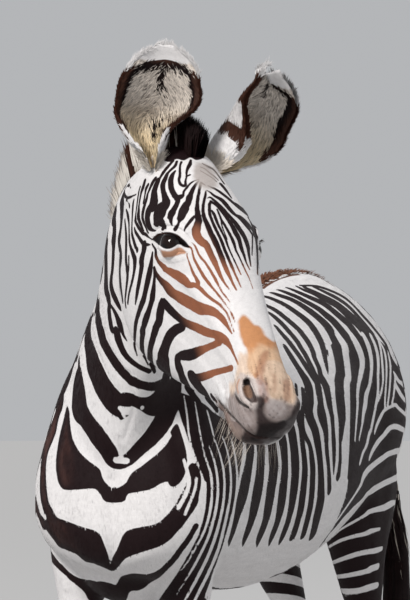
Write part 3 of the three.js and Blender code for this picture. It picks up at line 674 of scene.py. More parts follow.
NECK_LINES = """
116.6,331.8,6 117.9,338.4,6.4 121.2,347.6,5.5 125.8,355.5,5 132.4,362,4.6 140.3,367.4,4.5 149.5,371.3,5
91.6,316.7,1 88.3,328,5 87.9,338.4,7 89.7,350,9 92.6,362,12.5 96.5,373,14 101.5,384.5,16 108,395,18 115,403,19 121,409,16 121,418,4
121,409,8 125,398,10 140,403,11 152,404,18 162,398,20 172,390,16 176,382,10
79,358,1.5 78.5,372,3 77,385,8 79,405,14 86,420,14 97,436,16 107,450,15 113,460,13 121,463,11 130,458,12 140,448,13 151,437,15 161,423,17 170,408,14 174,395,12
90,313,1 80,346,2.5 73,365,4 66.4,380,7 60.7,394,7 58.6,408.6,6 52,428,6 45,451,5 42.9,471.4,5 42.9,488.6,6.4 45,502.9,7 49.3,512.9,7
43.6,430,1.5 38.6,448.6,1.5 35,468.6,1.5 34.7,488.6,2 36.4,505.7,4 42,520,6
33.6,530,1.5 39.3,540,4 47.9,551.4,5 56.4,562.9,5 66.4,572.9,4.5 75,578.6,4 85,583.6,6 96.4,587,9 106.4,588.6,10 113.6,591.4,9
113.6,591.4,6 117.9,585.7,4 123.6,578.6,5 133.6,575.7,3.5 146.4,576.4,4 157.9,572.9,4 169.3,564.3,4.5 179.3,551.4,5 187.9,540,5 196,526,5
114.5,488,1.5 114.5,500,1.5
"""

NECK_PALE = """
120,408,4 126,411,8 132,410,6
123,414,3 126,420,2
142,407.5,4 142.5,408,4
116,460,6 127,461,6
42,443,3 38.6,465.7,3 37,488.6,3.5 40.7,508.6,4 45,517,3
184,460,3 189,480,4 186,494,4 178,508,4
185,514.3,3 194.3,491.4,3 196.4,478.6,3
205,483,3 204,495,4 198,510,4 190,520,4
"""

CHEST_BLOCKS = [
    "69.3,411 72,435.7 79.3,451.4 89.3,461.4 99.3,468.6 102.9,478.6 109.3,486.4 115,488.6 125,483.6 132,472.9"
    " 142,465.7 156.4,454.3 166.4,444.3 172,436 178,440 183.6,461.4 179.3,474.3 172,483.6 167.9,482 160.7,483.6"
    " 150.7,489.3 137.9,492 127.9,494.3 123.6,501.7 109.3,502.6 103.6,500 99.3,492.9 93.6,488.6 82,489.3 65.7,490"
    " 60,485.7 57,477 56,460 59.3,437 63.6,418.6 67,406",
    "47.9,501.4 52,508.6 57,517 63.6,520 73.6,523.6 82,527 95,530.7 100.7,535.7 103.6,542.9 107.9,554.3"
    " 110.3,563.6 112.9,557 117.9,547 123.6,534.3 130.7,529.3 142,527 156.4,523.6 165,517 173.6,507 180.7,494.3"
    " 186.4,482.9 189.3,468.6 198.6,470 198.6,498.6 195,508.6 187.9,518.6 179.3,528.6 170.7,539.3 159.3,546.4"
    " 146.4,550.7 133.6,555 125,559.3 119.3,565.7 114.3,570.7 110.7,570.7 102,567 93.6,563.6 85,561.4 76.4,554.3"
    " 67.9,550.7 59.3,547 53.6,540 46.4,530 40.7,520 35.7,508.6 40,503",
]

RUMP = """
270,293,1 274,293.5,2.5 281,296,3.5 290,299,4 298,303,4.5 307,309,5.5 315,315,6 323,322,6.5 329,329,7.5 334,338,8 337.5,348,9 340,366,9 340,376,10 339,389,10.5 341,415,9 340,445,4 339.9,460,4 338.3,475,4.5
277,290,1 282,291,2.5 291,294.5,3.5 299,298,4 317,308,5 326,315,6 334,322,6.5 347,338,7.5 351,346,8 354,356,8.5 355.5,366,8.5 354,389,7.5 353,415,7 352,440,6 350,470,6
286,287.5,1 293,290,2.6 309,297,4 318,301,4.5 327,306,5 336,313,5.5 344,320,5.5 351,327,6 362,343,6 366,352,6 368,361,5.5 368,371,5.5 366,381,6 363,391,7
297,286.5,1.5 304,290,2.6 313,293.5,3.2 322,298,4 331,303,4 340,309,4.5 356,324,5 363,332,5 368,341,4.5 372,351,4.5 374,361,4.5 374,371,4.5 371,386,5
305,287.5,2 315,292,3 335,302,3.6 345,309,3.6 355,318,3.6 363,326,3.5 370,336,3.5 375,346,3.5 378,356,3.5 379,366,3.5 378,378,3.5
315,287.5,2 327,293,3 338,299,3.4 348,306,3.4 357,315,3 372,333,3 378,343,3 382,353,3 384,366,3 384,380,3
300,285.5,1.6 320,287,2.4 345,298,2.4 365,318,2.4 380,336,2.4 388,349,2.4 393,366,2.4
262,296.5,2 270,298,3 285,305,4.2 301,316,5 309,323,5.8 315,331,6 320,340,6 323,349,5.5 326.5,366,3.5 328,374,1
263.5,302,2 268,306,3 275,310,4 283,316,4.4 297,328,4.8 303,335,5 308,342,5 312,350,5 315,359,4.5 319,368,4.5 321,376,5 325,384,6.5 328,392,8 330,404,7 331.8,415,4.7 333.1,430,3.9 333.7,445,4.7 333.9,460,3.5 333.6,475,1
271,314,3 277,319,4 284,326,4.4 296,340,4.4 301,348,4.6 306,356,4.6 310,364,4.6 314,372,4.4 317,381,6 319,392,6.5 321,405,6 322,415,8.8 325.5,430,5.8 326.5,445,4.1 327.5,460,4.5 328.7,475,4.6 329.3,490,4.8
276.5,327,3 283,335,4 289,342,4.4 300,357,4.6 309.5,372,4.4 314,380,3
286,348,4 292,358,5 297,366,5 302,374,6 308,385,8 310,400,8 309.4,415,8.7 315,430,8 318,445,7 320,460,5.9 320.9,475,6.3 321,490,7.3 319.9,505,8 313,535,6
303,390,4 304,402,5 302,415,5 303,430,5 309.6,445,4.2 312,460,5.4 312.8,475,5.5 310.5,505,5.7 303.4,535,5
296,385,3 298,415,5 301,430,5 302.6,445,5.1 304.4,460,5.6 304.7,475,6.2 301.4,505,6.8 298,520,5.6 293.4,535,6
284,385,3 286,400,5 287.4,415,6.3 291.2,430,8.7 293.7,445,8.3 295,460,8.8 295.1,475,8.3 293.7,490,8 291.7,505,6.6 288.3,520,5.2 283,535,4.8 279,545,1
277,400,4 279,415,6 280.6,430,8.2 283.3,445,8.1 284.7,460,6.9 284.6,475,7.3 282.8,490,8.4 281,505,8.1 277.9,520,5.8 272.7,535,5 269,546,1
267,410,5 269,420,6 270.5,430,7.4 272.1,445,8.8 273.4,460,9.6 273,475,9.3 268.7,505,8.6 265.7,520,6.7 260.7,535,6 257,547,1
256,420,7 259,433,8 260.5,445,8.5 260.9,460,8 259.9,475,9 257.8,490,9.8 254.9,505,9.3 251.3,520,6.8 246.5,535,5.5 243,546,1
247,425,7 249.9,445,8.2 249.5,460,7.7 247.2,475,9 243.9,490,10.3 239.9,505,9.1 235.9,520,6.6 231.9,535,5 229,546,1
"""

HAUNCH_PALE = """
326,340,4 330,350,4 332,360,5 333,370,5 331.5,380,6 332.5,390,4.5 333.5,398,4 335,410,4 337,425,3 337.6,455,2.2 337,465,2 335.5,474,2 333.5,482,1.5 332,490,1
338,336,4 344,345,6 346,355,6 348,375,6 347,385,6 347.8,410,4.5 347.8,440,3.4 347.3,468,1.6 346,485,1
352,336,4 357,345,5.5 361,355,5.5 362,365,5 360.5,375,4.5 358.5,385,3.5 357.5,395,2.6 357.5,405,2.2 356.5,420,1.6 355,440,1.2
364,336,3 368,345,4 370.5,355,3.6 371.5,365,3.2 371,375,3 369.5,385,3 366.5,395,4 365,405,4 363.5,413,3 362,425,1.8 359,440,1.2
371,336,2 375,345,2.6 377.5,355,2.8 378.3,365,2.6 378,375,2.4 377.5,395,2.2 372,425,2.4 369,435,2.6 366.5,445,2.4 363,453,2.2 360,463,1.6
376,336,1.4 379,342,1.8 381.5,355,2 383,375,2 382.5,385,1.8 380.5,395,1.8 377.5,402,1.8
380,342,1 384,350,1.6 386,360,1.8 386.5,370,1.8 386.3,380,1.6 385,400,1.6 385,408,1.6
388,352,1 390,362,1.6 390.5,372,1.8 389.5,390,1.6 387.5,406,1.6
395,376,1.4 395,382,2 393.5,396,1.6 392,403,1.6
388,345,1.2 392,355,2.2 396,362,2.6 401,368,2.4
394,373,1.6 398,380,3 402,384,2.8 406,390,1.6
396,386,3 400,393,3.4 404,399,3 408,404,2.4
374.5,433,1.4 376.5,426,2.4 380,418,3 384,411,3 389,407.5,3 395,405,3.6 399,408.5,3 408,417,3
369.5,458,2 373,450,3 378,442,4 384,435,4 390,428,4.6 396,426.5,5.5 402,429,5 408,432,4.6
336,522,1 343,512,1.6 356,493,2 361,484,2.6 364,476,4 370,468,5 384,457,5 391,453,5 398,451,6 408,451.5,7
330,534,1 338,525,1.6 346,516,1.8 354,508,2 361.5,501,2.6 366,496,4 373,490,5 381,485,5.5 389,481,5.5 396,478,6 405,475.5,6.5
326,543,1 334,535,1.8 343,528,2 363,516.5,2.8 369,512,4 376,509.5,5 384,507.5,6 391,504,6 396,502,3.5
342,442,1 342.5,450,1.6 342.7,460,1.8 342,470,1.8 341,480,1.2
328,420,1 329.5,430,2.2 330.5,440,2 332,470,1.8 333,478,1.8
322,432,2 323.5,450,2.2 325.5,470,3 326.5,492,1.6
324,551,1.6 332,545,2.6 342,540,3.2 353,536.5,3.6 364.4,533.9,4 371.4,531,4.6 379.7,529,3
322,568,2 332,563,3.4 354,555,4.6 366.5,552,5 375.6,550.6,5.5 381.8,548.5,4
326,578,2.6 336,577,3.8 350,575,4.4 365.8,571.5,5 371.4,568.6,6 377.6,566.5,6
328,589,3.4 340,590.5,4.6 352,591,5.4 361.7,590,6 368.6,588,7 377,585.3,6
"""


# ---- Markings -------------------------------------------------------------------------------
def srgb(r, g, b):
    return tuple((c / 12.92 if c <= 0.04045 else ((c + 0.055) / 1.055) ** 2.4) for c in (r, g, b))


WHITE = srgb(0.875, 0.865, 0.865)
CREAM = srgb(0.88, 0.84, 0.79)
INK = srgb(0.105, 0.052, 0.060)
CHESTNUT = srgb(0.55, 0.345, 0.25)
NOSE_ORANGE = srgb(0.74, 0.50, 0.30)
NOSE_BEIGE = srgb(0.83, 0.70, 0.58)
LIP_GREY = srgb(0.51, 0.45, 0.43)
BLEACHED = srgb(0.42, 0.28, 0.25)
RIDGE_BROWN = srgb(0.44, 0.28, 0.20)
# Dark of the lips and chin, also used as painted shade in the nostril and under the mouth.
LIP_AND_SHADE_DARK = srgb(0.24, 0.18, 0.17)
TAN = srgb(0.72, 0.50, 0.36)
# Black of the eyelids' margins, also used as painted shade in the nostril and in the creases of the mouth.
LID_AND_SHADE_BLACK = srgb(0.07, 0.045, 0.045)
BROWN = srgb(0.24, 0.13, 0.09)
NEAR_BLACK = srgb(0.085, 0.035, 0.035)

EYE_DARK = (
    "151.6,239.6 154,236.6 158,233.9 162,232.6 167,232.1 171,232.4 175,233.4 179,235.6 182.5,238.6 186,242 190,247.4"
    " 186.5,247.6 183,246.6 180.5,245 177.8,244.6 174.5,246.6 170.5,248.7 166.5,249 163,247.9 159.6,245.6 155.6,242.4"
)
# Soft patches of the face: outline in the view, softness in pixels, colour and strength.
FACE_PATCHES = [
    ("238,322 241,317 245,316 250,320 254,324 260,326 266,336 273,341 279,339 281,334 285,344 289,356 284,364 273,360"
     " 264,364 256,378 250,372 247,366 247,352 241,340", 1.8, NOSE_ORANGE, 0.95),
    ("250,352 262,346 284,352 292,368 298,384 299,396 294,406 280,402"
     " 268,398 262,384 256,378 251,368", 5.0, NOSE_BEIGE, 0.85),
    ("240,352 249,356 252,372 246,378 238,388 233,396 230,388 236,374", 3.0, NOSE_BEIGE, 0.7),
    ("228,400 236,392 246,404 256,406 264,398 280,402 292,404 296,398 300,386 302,404 292,418 276,428 262,440 248,438"
     " 236,425 226,409", 4.0, LIP_GREY, 0.9),
    ("218,399 226,409 236,421 248,434 262,440 262,452 240,448 228,432 219,412", 2.2, LIP_GREY, 0.85),
    ("240,372 247,375 254,379 259,388 261,400 256,408"
     " 247,406 240,400 236,390 237,380", 1.6, srgb(0.74, 0.69, 0.67), 0.85),
    ("262,352 268,352 266,366 260,384 256,380 257,366", 2.5, CHESTNUT, 0.6),
    ("282,342 286,350 292,366 297,382 294,384 289,372 284,358", 1.5, CHESTNUT, 0.8),
    ("262,378 268,384 269,400 264,402 260,392", 2.5, CHESTNUT, 0.6),
    ("283,380 289,380 291,396 286,402 283,392", 2.2, CHESTNUT, 0.5),
    ("272,374 276,374 277,390 273,392", 2.0, CHESTNUT, 0.3),
    ("268,400 276,399 284,402 287,410 282,418 272,418 266,412", 3.0, srgb(0.71, 0.67, 0.66), 0.7),
    ("226,398 238,402 248,409 255,414 252,424 244,426 236,418 229,408", 3.0, srgb(0.63, 0.585, 0.575), 0.7),
    # The muzzle's own dark underside, with painted shade below the nose and along the lips.
    ("256,396 263,398 265,406 265,414 269,420 278,422 287,418 293,411 298,403 302,400 302,414 293,427 281,438 268,444"
     " 248,444 240,437 247,431 255,433 258,424 256,412", 2.4, srgb(0.17, 0.125, 0.125), 0.92),
    # Painted shade, nearly black, under the lips, over their own dark skin.
    ("262,424 276,422 286,422 278,433 266,438 252,440 256,432", 2.4, srgb(0.08, 0.055, 0.06), 0.8),
    ("217,402 224,408 230,420 236,432 232,440 224,434 218,418", 3.0, srgb(0.40, 0.29, 0.25), 0.75),
    ("226,414 234,424 242,434 238,440 231,434", 2.5, srgb(0.68, 0.60, 0.56), 0.6),
    ("160,249.4 166,251 172,250.4 178,247.6 182,247.8 186,253 180,254.6 172,256.6 164,257", 1.0, TAN, 0.9),
    ("196,166 206,164 216,172 218,186 208,190 199,186 194,176", 3.5, srgb(0.66, 0.62, 0.60), 0.8),
    (EYE_DARK, 0.5, LID_AND_SHADE_BLACK, 1.0),
    # The nostril: its own dark skin with painted shade in its hollow; the next patch paints its opening black as shade.
    ("242.6,379.6 246,378 249.6,380 250.4,384 253.6,391 257.2,400.5"
     " 254,402.4 249.4,401 244.6,396.6 242,389", 0.8, LIP_AND_SHADE_DARK, 0.9),
    ("243.4,380 246.4,378.4 249.2,380.4 248.8,385 246,386 243,386.4", 0.6, LID_AND_SHADE_BLACK, 1.0),
    ("242.8,387 246,385.8 249.4,387 251.6,394 250.6,397.4 246,396.4 243,392.6", 1.2, srgb(0.50, 0.38, 0.30), 0.85),
]
# Lines of colour on the face: stroke, softness in millimetres, colour and strength.
FACE_LINES = [
    # The next four are painted shade in creases: under the nostril, along the mouth, down the nostril's slit and along
    # the mouth under the muzzle, over the grooves that FOLDS presses in.
    ("235,394,1.4 238,399.8,2.6 242,404,3 249,408,2.2", 0.8, LID_AND_SHADE_BLACK, 0.9),
    ("216,397,1.6 220,402,2 226,409.5,1.8 233,417,1.8 240,424.5,1.8 247.5,432.5,1.8", 0.8, LID_AND_SHADE_BLACK, 0.95),
    ("248.8,382.5,0.8 252,388,0.8 255.8,398,1", 0.5, LID_AND_SHADE_BLACK, 0.9),
    ("247.5,432.5,2 256,437,2.4 266,438,2.4", 1.5, LIP_AND_SHADE_DARK, 0.9),
    ("222,415,5 226,424,5 230,433,4", 3.0, LIP_AND_SHADE_DARK, 0.55),
    ("239,380,1.5 237,386,1.6 238,393,1.6", 1.5, TAN, 0.6),
]
CHESTNUT_ZONE = (
    "158,258 166,285 188,322 200,352 206,380 250,380 266,300 250,268 232,266 216,256"
    " 206,236 196,226 188,238 180,250 168,254"
)
CHEST_ARMS = (
    "61,563 70,573 78,578.5 88,581.5 100,583 107,586.5 112,590.5 116,594 119,604 92,602 84,592 75,584 67,577",
    "114,604 116.5,590 119.5,581 126,576 134,574.5 141,576 148,576 156,571.5 163,566 170,559 179,549 182,552 176,561"
    " 168,569.5 160,577 151,582.5 145,587.5 138,590.5 130,592 124,604",
    "187,468 192,463 198,467 201,478 200,491 195,506 187,520 178,531 165,539 150,544"
    " 150,530 165,524 176,513 183,500 187,485",
    "170,432 177,424 182,436 186,450 187,466 182,480 174,487 168,482 174,466 176,450",
)
WITHERS = (
    "246,300 251,290 257,282 266,274 276,268 290,266 304,268 319,274 319,277.5 306,275"
    " 292,276 280,279.5 270,285 260,292 252,301"
)
CROWN = "164,161 165,146 172,138 200,138 206,152 203,158 196,160 190,157.5 184,160.5 177,159 170,162"
HAUNCH = (
    "326,350 335,341 345,338 358,336 370,336 380,341 389,350 399,362 412,380 418,620 325,620 320,580 317,556 318,538"
    " 323,520 327,504 326,480 324,450 322,425 325,400 327,380 327,365"
)
# The shoulder's dark ground, parted by thin pale lines. At its top, by the neck, it is partly the shoulder's own dark
# stripes and partly the head's cast shadow, painted as dark.
SHOULDER = (
    "174,390 190,396 204,404 216,414 228,420 240,425 243,445 240,470 236,495 230,520 222,548 212,575 200,610 150,620"
    " 178,572 192,548 200,530 205,510 206,492 203,476 196,462 190,446 185,430 179,412"
)
SHOULDER_PALE = """
184,396,1 187,415,1.8 189,435,2 193,452,2 199,466,1.6
195,402,1 201,438,1.8 205,454,1.4
207,410,1 211,425,1.6 215,442,1.4
203,452,1 207,462,2 211,475,2.4 212,490,2.4 211,505,2.6 208,520,2.6 203,534,2.4 190,558,1.5 182,570,1
209,446,1 214,460,2 217,475,2.4 218,490,2.6 216.5,506,2.6 213,522,2.8 208,538,2.8 201,553,2.6 193,568,2.2 183,584,1.5 176,596,1
215,440,1 220,455,1.8 223.5,470,2.2 224.5,487,2.4 223,505,2.6 219.5,522,2.8 215,538,3 209,554,3 202,569,3 193,586,2.8 184,602,2
222,436,1 227,450,1.6 230,466,2 231,484,2.2 229,504,2.4 221,540,3 215,558,3 208,574,3 200,590,3 192,606,2
229,432,1 233.5,448,1.6 236.5,466,1.8 237,486,2 234.5,506,2.2 231,525,2.4 226,543,2.4 220,560,2.6 206,596,2.4
"""

# The crest and the throat at places along the neck.
NECK_LINE = [
    ((10, -330, 1440), (40, -600, 900)), ((26, -430, 1490), (54, -724, 1030)), ((50, -552, 1560), (92, -768, 1150)),
    ((74, -660, 1628), (140, -802, 1250)), ((122, -768, 1676), (186, -832, 1340)),
    ((202, -858, 1696), (220, -850, 1420)),
    ((266, -900, 1690), (268, -880, 1470)),
]


def stripes(place, period, dark):
    """Signed distance inside dark stripes of one width each period along a measure, in millimetres."""
    return dark / 2 - np.abs((place + period / 2) % period - period / 2)


def wobble(points, size, seed=0.0):
    """A smooth pattern from -1 to 1 that bends straight stripes."""
    x, y, z = np.moveaxis(points / size, -1, 0)
    a = np.sin(1.7 * x + 0.8 * z + seed) + np.sin(1.3 * y - 0.9 * z + 2.1 + seed)
    a = a + np.sin(1.1 * z + 1.9 * x - 0.7 * y + seed)
    b = np.sin(3.1 * x - 2.3 * y + 1.0 + seed) + np.sin(2.7 * z + 2.9 * y + seed)
    return a / 4 + b / 8


def neck_measure(points):
    """How far along the neck a point lies, in millimetres from the chest to the poll."""
    path = dense(np.array(NECK_LINE).mean(1), 12)
    run = np.concatenate(((0,), np.cumsum(np.linalg.norm(np.diff(path, axis=0), axis=1))))
    best, out = np.full(len(points), 1e9), np.zeros(len(points))
    for p, way, start in zip(path, unit(np.gradient(path, axis=0)), run):
        off = (points - p) @ way
        near = np.linalg.norm(points - p, axis=1) * 0.02 + np.abs(off)
        closer = near < best
        best[closer], out[closer] = near[closer], (start + off)[closer]
    return out


def neck_slope(points):
    """A measure that falls from the withers into the neck; about -560 where the neck begins."""
    return points[:, 1] + 0.62 * (points[:, 2] - 1250)


def neck_band(points):
    return stripes(neck_measure(points) + 9 * wobble(points, 120.0) - 20, 76.0, 50.0)


def body_field(points, normals):
    """The stripes that no stroke reaches: trunk, back, legs, tail and the far side of the neck."""
    bend = wobble(points, 120.0)
    x = points[:, 0] - sway(points[:, 1])
    y, z = points[:, 1], points[:, 2]
    trunk = stripes(y - 0.16 * (z - 1100) * ease(-300, -600, y) + 14 * bend + 10, 47.0, 28.0)
    trunk = blend(trunk, -30, ease(880, 800, z + 22 * bend) * ease(620, 480, y))
    rump = stripes(z + 0.32 * y + 12 * bend, 52.0, 31.0)
    trunk = blend(trunk, rump, ease(520, 640, y - 0.35 * (z - 1200) + 16 * bend))
    # a dark line along the spine between two pale ones
    ridge = np.abs(x)
    top = (normals[:, 2] > 0.2) & (z > 1150)
    wide = 21 + 30 * ease(-40, -330, y)
    border = np.where(top, np.abs(ridge - wide - 14) - 13, 40)
    line = np.where(top & (y > -380), wide - ridge, UNMARKED)
    trunk = np.maximum(np.minimum(trunk, border), line)
    fore = stripes(z - 0.12 * y * np.sign(y) + 9 * bend, 44.0, 23.0)
    fore = fore - 14 * ease(500, 760, z) * (ridge < 60)
    hind = stripes(z + 0.25 * y + 9 * bend, 47.0, 26.0)
    behind = y > 100
    leg = np.where(behind, hind, fore)
    field = blend(trunk, leg, np.where(behind, ease(960, 860, z), ease(900, 820, z)))
    field = blend(field, neck_band(points), ease(-560, -640, neck_slope(points)) * ease(760, 880, z))
    under = ease(-0.1, -0.45, normals[:, 2]) * ease(790, 850, z) * ease(720, 640, y) * ease(-560, -480, y)
    field = blend(field, -30, under)
    tail = (y > 785) & (z < 1330) & (np.abs(points[:, 0] - 70) < 130)
    return np.where(tail, stripes(z, 38.0, 16.0) - 6 * (ridge > 12), field)


def on_trunk(place):
    return place[1] > -560 or place[2] < 1120


def off_head(place):
    return head_share(np.array([place]))[0] < 0.5


DARK_STROKES = (
    (CHEEK, None, 1.26),
    (FOREHEAD, None, 1.26),
    (NECK_EDGE, None, 1.1),
    (NECK_LINES, off_head, 1.1),
    (RUMP, on_trunk, 0.97),
)
PALE_STROKES = ((NECK_PALE, off_head), (HAUNCH_PALE, on_trunk), (SHOULDER_PALE, off_head))


def lay_stripes(canvas, withers):
    """Lays the dark strokes and patches, then the pale strokes that part them again."""
    for block, allowed, widen in DARK_STROKES:
        for path in strokes(block):
            canvas.stroke(path, False, allowed, widen)
    y, z = canvas.points[:, 1], canvas.points[:, 2]
    for outline in (*CHEST_BLOCKS, *CHEST_ARMS):
        canvas.patch(parse(outline), y < -480)
    canvas.patch(parse(CROWN), head_share(canvas.points) > 0.3)
    canvas.patch(parse(WITHERS), withers)
    canvas.patch(parse(HAUNCH), y > 100)
    # the shoulder's dark, with painted shadow of the head at its top
    canvas.patch(parse(SHOULDER), (y < -100) & (z < 1330))
    for block, allowed in PALE_STROKES:
        for path in strokes(block):
            canvas.stroke(path, True, allowed)


def tint(layers, rows, colour, share):
    """Mixes a colour into some rows of each layer of colour."""
    for layer in layers:
        layer[rows] = blend(layer[rows], tuple(colour), share[:, None])


def mark(canvas, hues):
    """The stripe field of the whole skin and the colours on both sides of its edge."""
    points, field = canvas.points, canvas.field
    x, y, z = points.T
    head = head_share(points)
    withers = (z > 1330) & (y > -500)
    lay_stripes(canvas, withers)
    pale, dark = (np.tile(tuple(hue), (len(points), 1)) for hue in (hues.pale, hues.dark))
    facing = ((CAMERA_PLACE - points) * canvas.normals).sum(1) > 0
    face = np.where((head > 0.3) & facing)[0]
    brown = ease(-7, 7, outline_depth(canvas.spots[face], parse(CHESTNUT_ZONE), 2.0))
    tint((dark,), face, hues.chestnut, brown)
    for outline, soft, colour, strength in FACE_PATCHES:
        shape = parse(outline)
        near = face[within(canvas.spots[face], shape, 2 * soft + 2)]
        ragged = 0.8 * soft * wobble(points[near], 9.0, soft)
        depth = outline_depth(canvas.spots[near], shape) + ragged
        tint((pale, dark), near, colour, strength * ease(-soft, soft, depth))
    chest = ease(-380, -470, y) * ease(1230, 1120, z) * ease(800, 860, z) * (head < 0.02)
    blotches = ease(-0.2, 0.6, wobble(points, 36.0, 1.0) + 0.5 * wobble(points, 11.0))
    chest = chest * (0.10 + 0.34 * blotches) * ease(2, 16, field) * ease(60, -20, x - 0.5 * (y + 560))
    warm = ease(-3, 3, outline_depth(canvas.spots, parse(WITHERS), 2.0)) * facing
    crest = ease(64, 50, np.abs(x - sway(y))) * ease(120, -60, y)
    for colour, share in ((BLEACHED, chest), (RIDGE_BROWN, np.maximum(warm, crest) * withers)):
        dark = blend(dark, colour, share[:, None])
    snout = (ease(-455, -560, to_head(points)[:, 1]) * head)[:, None]
    speckle = 0.6 * wobble(points, 3.1, 1.0) + 0.5 * wobble(points, 7.3, 2.0) + 0.3 * wobble(points, 1.9)
    pores = ease(0.35, 0.75, wobble(points, 2.6, 4.0) + 0.35 * wobble(points, 8.0))
    pale = pale * (1 + 0.26 * snout * speckle[:, None] * (0.9, 1.05, 1.1)) * (1 - 0.42 * snout * pores[:, None])
    for text, soft, colour, strength in FACE_LINES:
        for run in canvas.cast(parse(text)):
            chosen, depth = canvas.inside(run, 6.0)
            tint((pale, dark), chosen, colour, strength * ease(-soft, soft, depth))
    return spread_markings(canvas, head, pale, dark)


PLAIN_VIEW = 0.85  # how plainly a point is seen for its markings to be carried on


def spread_markings(canvas, head, pale, dark):
    """Carries the markings on to where the camera doesn't see the skin.

    The far side of the head mirrors the near one; elsewhere the plain stripes take over.
    """
    points = canvas.points
    x, y, z = points.T
    view = canvas.seen()
    base = body_field(points, canvas.normals)
    view[(x < sway(y) - 15) & (y > 100) & (z < 1000)] = 0
    plain, rest = np.where(view > PLAIN_VIEW)[0], np.where(view <= PLAIN_VIEW)[0]
    tree = KDTree(len(plain))
    for place, i in zip(points[plain].tolist(), plain.tolist()):
        tree.insert(place, i)
    tree.balance()
    found = [tree.find(place) for place in points[rest].tolist()]
    nearest = np.array([f[1] for f in found])
    spread = ease(44, 12, np.array([f[2] for f in found]) + 6 * wobble(points[rest], 40.0))[:, None]
    own = ease(0.0, 0.5, view[rest])[:, None]
    over = head[rest] > 0.02
    field = canvas.field[:, None]
    far = np.zeros((len(rest), 8))
    far[over] = canvas.sample(mirrored(points[rest][over]), np.column_stack((field, pale, dark, view)))
    far[:, 0] = np.where(far[:, 7] > 0.5, far[:, 0], base[rest])
    for layer, there, known in ((field, far[:, :1], True), (pale, far[:, 1:4], over), (dark, far[:, 4:7], over)):
        there = np.where(np.reshape(known, (-1, 1)), there, layer[rest])
        layer[rest] = blend(blend(there, layer[nearest], spread), layer[rest], own)
    start = np.where(y > 300, 720, 770)
    low = ease(start, start - 70, z) * (head <= 0.02)
    return blend(canvas.field, base, low), pale, dark


# ---- Materials ------------------------------------------------------------------------------
GRAIN = np.array((1, 0.12, 1)) * MM  # stretches the streaks along the body


def plug(tree, socket, value):
    """Links a value to a socket, or sets it there if it is a number or a colour."""
    if hasattr(value, "is_output"):
        tree.links.new(value, socket)
    else:
        socket.default_value = value


def material(name, roughness, specular=0.5, coat=0.0, coat_roughness=0.06):
    made = bpy.data.materials.new(name)
    made.use_nodes = True
    shader = made.node_tree.nodes["Principled BSDF"].inputs
    shader["Roughness"].default_value = roughness
    shader["Specular IOR Level"].default_value = specular
    shader["Coat Weight"].default_value = coat
    shader["Coat Roughness"].default_value = coat_roughness
    return made, made.node_tree, shader


def node(tree, kind, inputs=None, **settings):
    made = tree.nodes.new("ShaderNode" + kind)
    for key, value in settings.items():
        setattr(made, key, value)
    for key, value in (inputs or {}).items():
        plug(tree, made.inputs[key], value)
    return made.outputs


def maths(tree, operation, a, b):
    return node(tree, "Math", {0: a, 1: b}, operation=operation)[0]


def attribute(tree, name, output="Fac"):
    return node(tree, "Attribute", attribute_name=name)[output]


def noise(tree, vector, scale, detail):
    return node(tree, "TexNoise", {"Vector": vector, "Scale": scale, "Detail": detail, "Roughness": 0.5})["Fac"]


def swing(tree, value, size):
    """Spreads a noise of 0 to 1 evenly about nought."""
    return maths(tree, "MULTIPLY", maths(tree, "SUBTRACT", value, 0.5), size)


def ranged(tree, value, low, high):
    limits = {"From Min": 0.3, "From Max": 0.7, "To Min": low, "To Max": high}
    return node(tree, "MapRange", {"Value": value, **limits})[0]


def mixed(tree, factor, a, b):
    a, b = (v if hasattr(v, "is_output") else (*v, 1) for v in (a, b))
    return node(tree, "Mix", {0: factor, 6: a, 7: b}, data_type="RGBA")[2]


def bump(tree, shader, strength, distance, height):
    lift = node(tree, "Bump", {"Strength": strength, "Distance": distance, "Height": height})[0]
    plug(tree, shader["Normal"], lift)


def coat_material(name, depth=0.0016, edge=0.9):
    """Hair: the stripe field turned into colour, with streaks along the hair."""
    made, tree, shader = material(name, 0.6, 0.14)
    grain = attribute(tree, "grain", "Vector")
    streak = noise(tree, grain, 900.0, 2.0)
    patchy = noise(tree, grain, 130.0, 3.0)
    ragged = maths(tree, "ADD", swing(tree, patchy, 2.2), swing(tree, noise(tree, grain, 45.0, 2.0), 1.6))
    field = maths(tree, "ADD", attribute(tree, "ink"), ragged)
    limits = {"From Min": -edge, "From Max": edge}
    step = node(tree, "MapRange", {"Value": field, **limits}, interpolation_type="SMOOTHSTEP")[0]
    hue = mixed(tree, step, attribute(tree, "pale", "Color"), attribute(tree, "dark", "Color"))
    tone = maths(tree, "MULTIPLY", ranged(tree, streak, 0.9, 1.06), ranged(tree, patchy, 0.94, 1.04))
    hue = node(tree, "VectorMath", {0: hue, "Scale": tone}, operation="SCALE")[0]
    plug(tree, shader["Base Color"], hue)
    bump(tree, shader, 0.5, depth, maths(tree, "ADD", streak, maths(tree, "MULTIPLY", patchy, 0.8)))
    return made


def hair_materials():
    """Long hair and tufts: the same stripe field, with a finer streak."""
    coat_material("hair", 0.0008, 0.5)
    coat_material("coat_tufts", 0.0006, 0.5)


def put(mesh, name, kind, key, values):
    mesh.attributes.new(name, kind, "POINT").data.foreach_set(key, np.asarray(values, np.float32).ravel())


def put_layers(mesh, ink, pale, dark, grain):
    """Stores the stripe field, the colours on both sides of its edge and the places of the streaks."""
    put(mesh, "ink", "FLOAT", "value", ink)
    for name, hue in (("pale", pale), ("dark", dark)):
        full = np.ones((len(mesh.vertices), 4))
        full[:, :3] = hue
        put(mesh, name, "FLOAT_COLOR", "color", full)
    put(mesh, "grain", "FLOAT_VECTOR", "vector", grain)


def put_unwrap(mesh, spots, faces):
    uv = mesh.uv_layers.new(name="OFBake")
    uv.data.foreach_set("uv", np.clip(spots[faces.ravel()], 0, 1).astype(np.float32).ravel())


def finish_piece(piece, slot, *nodes):
    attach(piece, BODY)
    if nodes:
        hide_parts(*nodes)


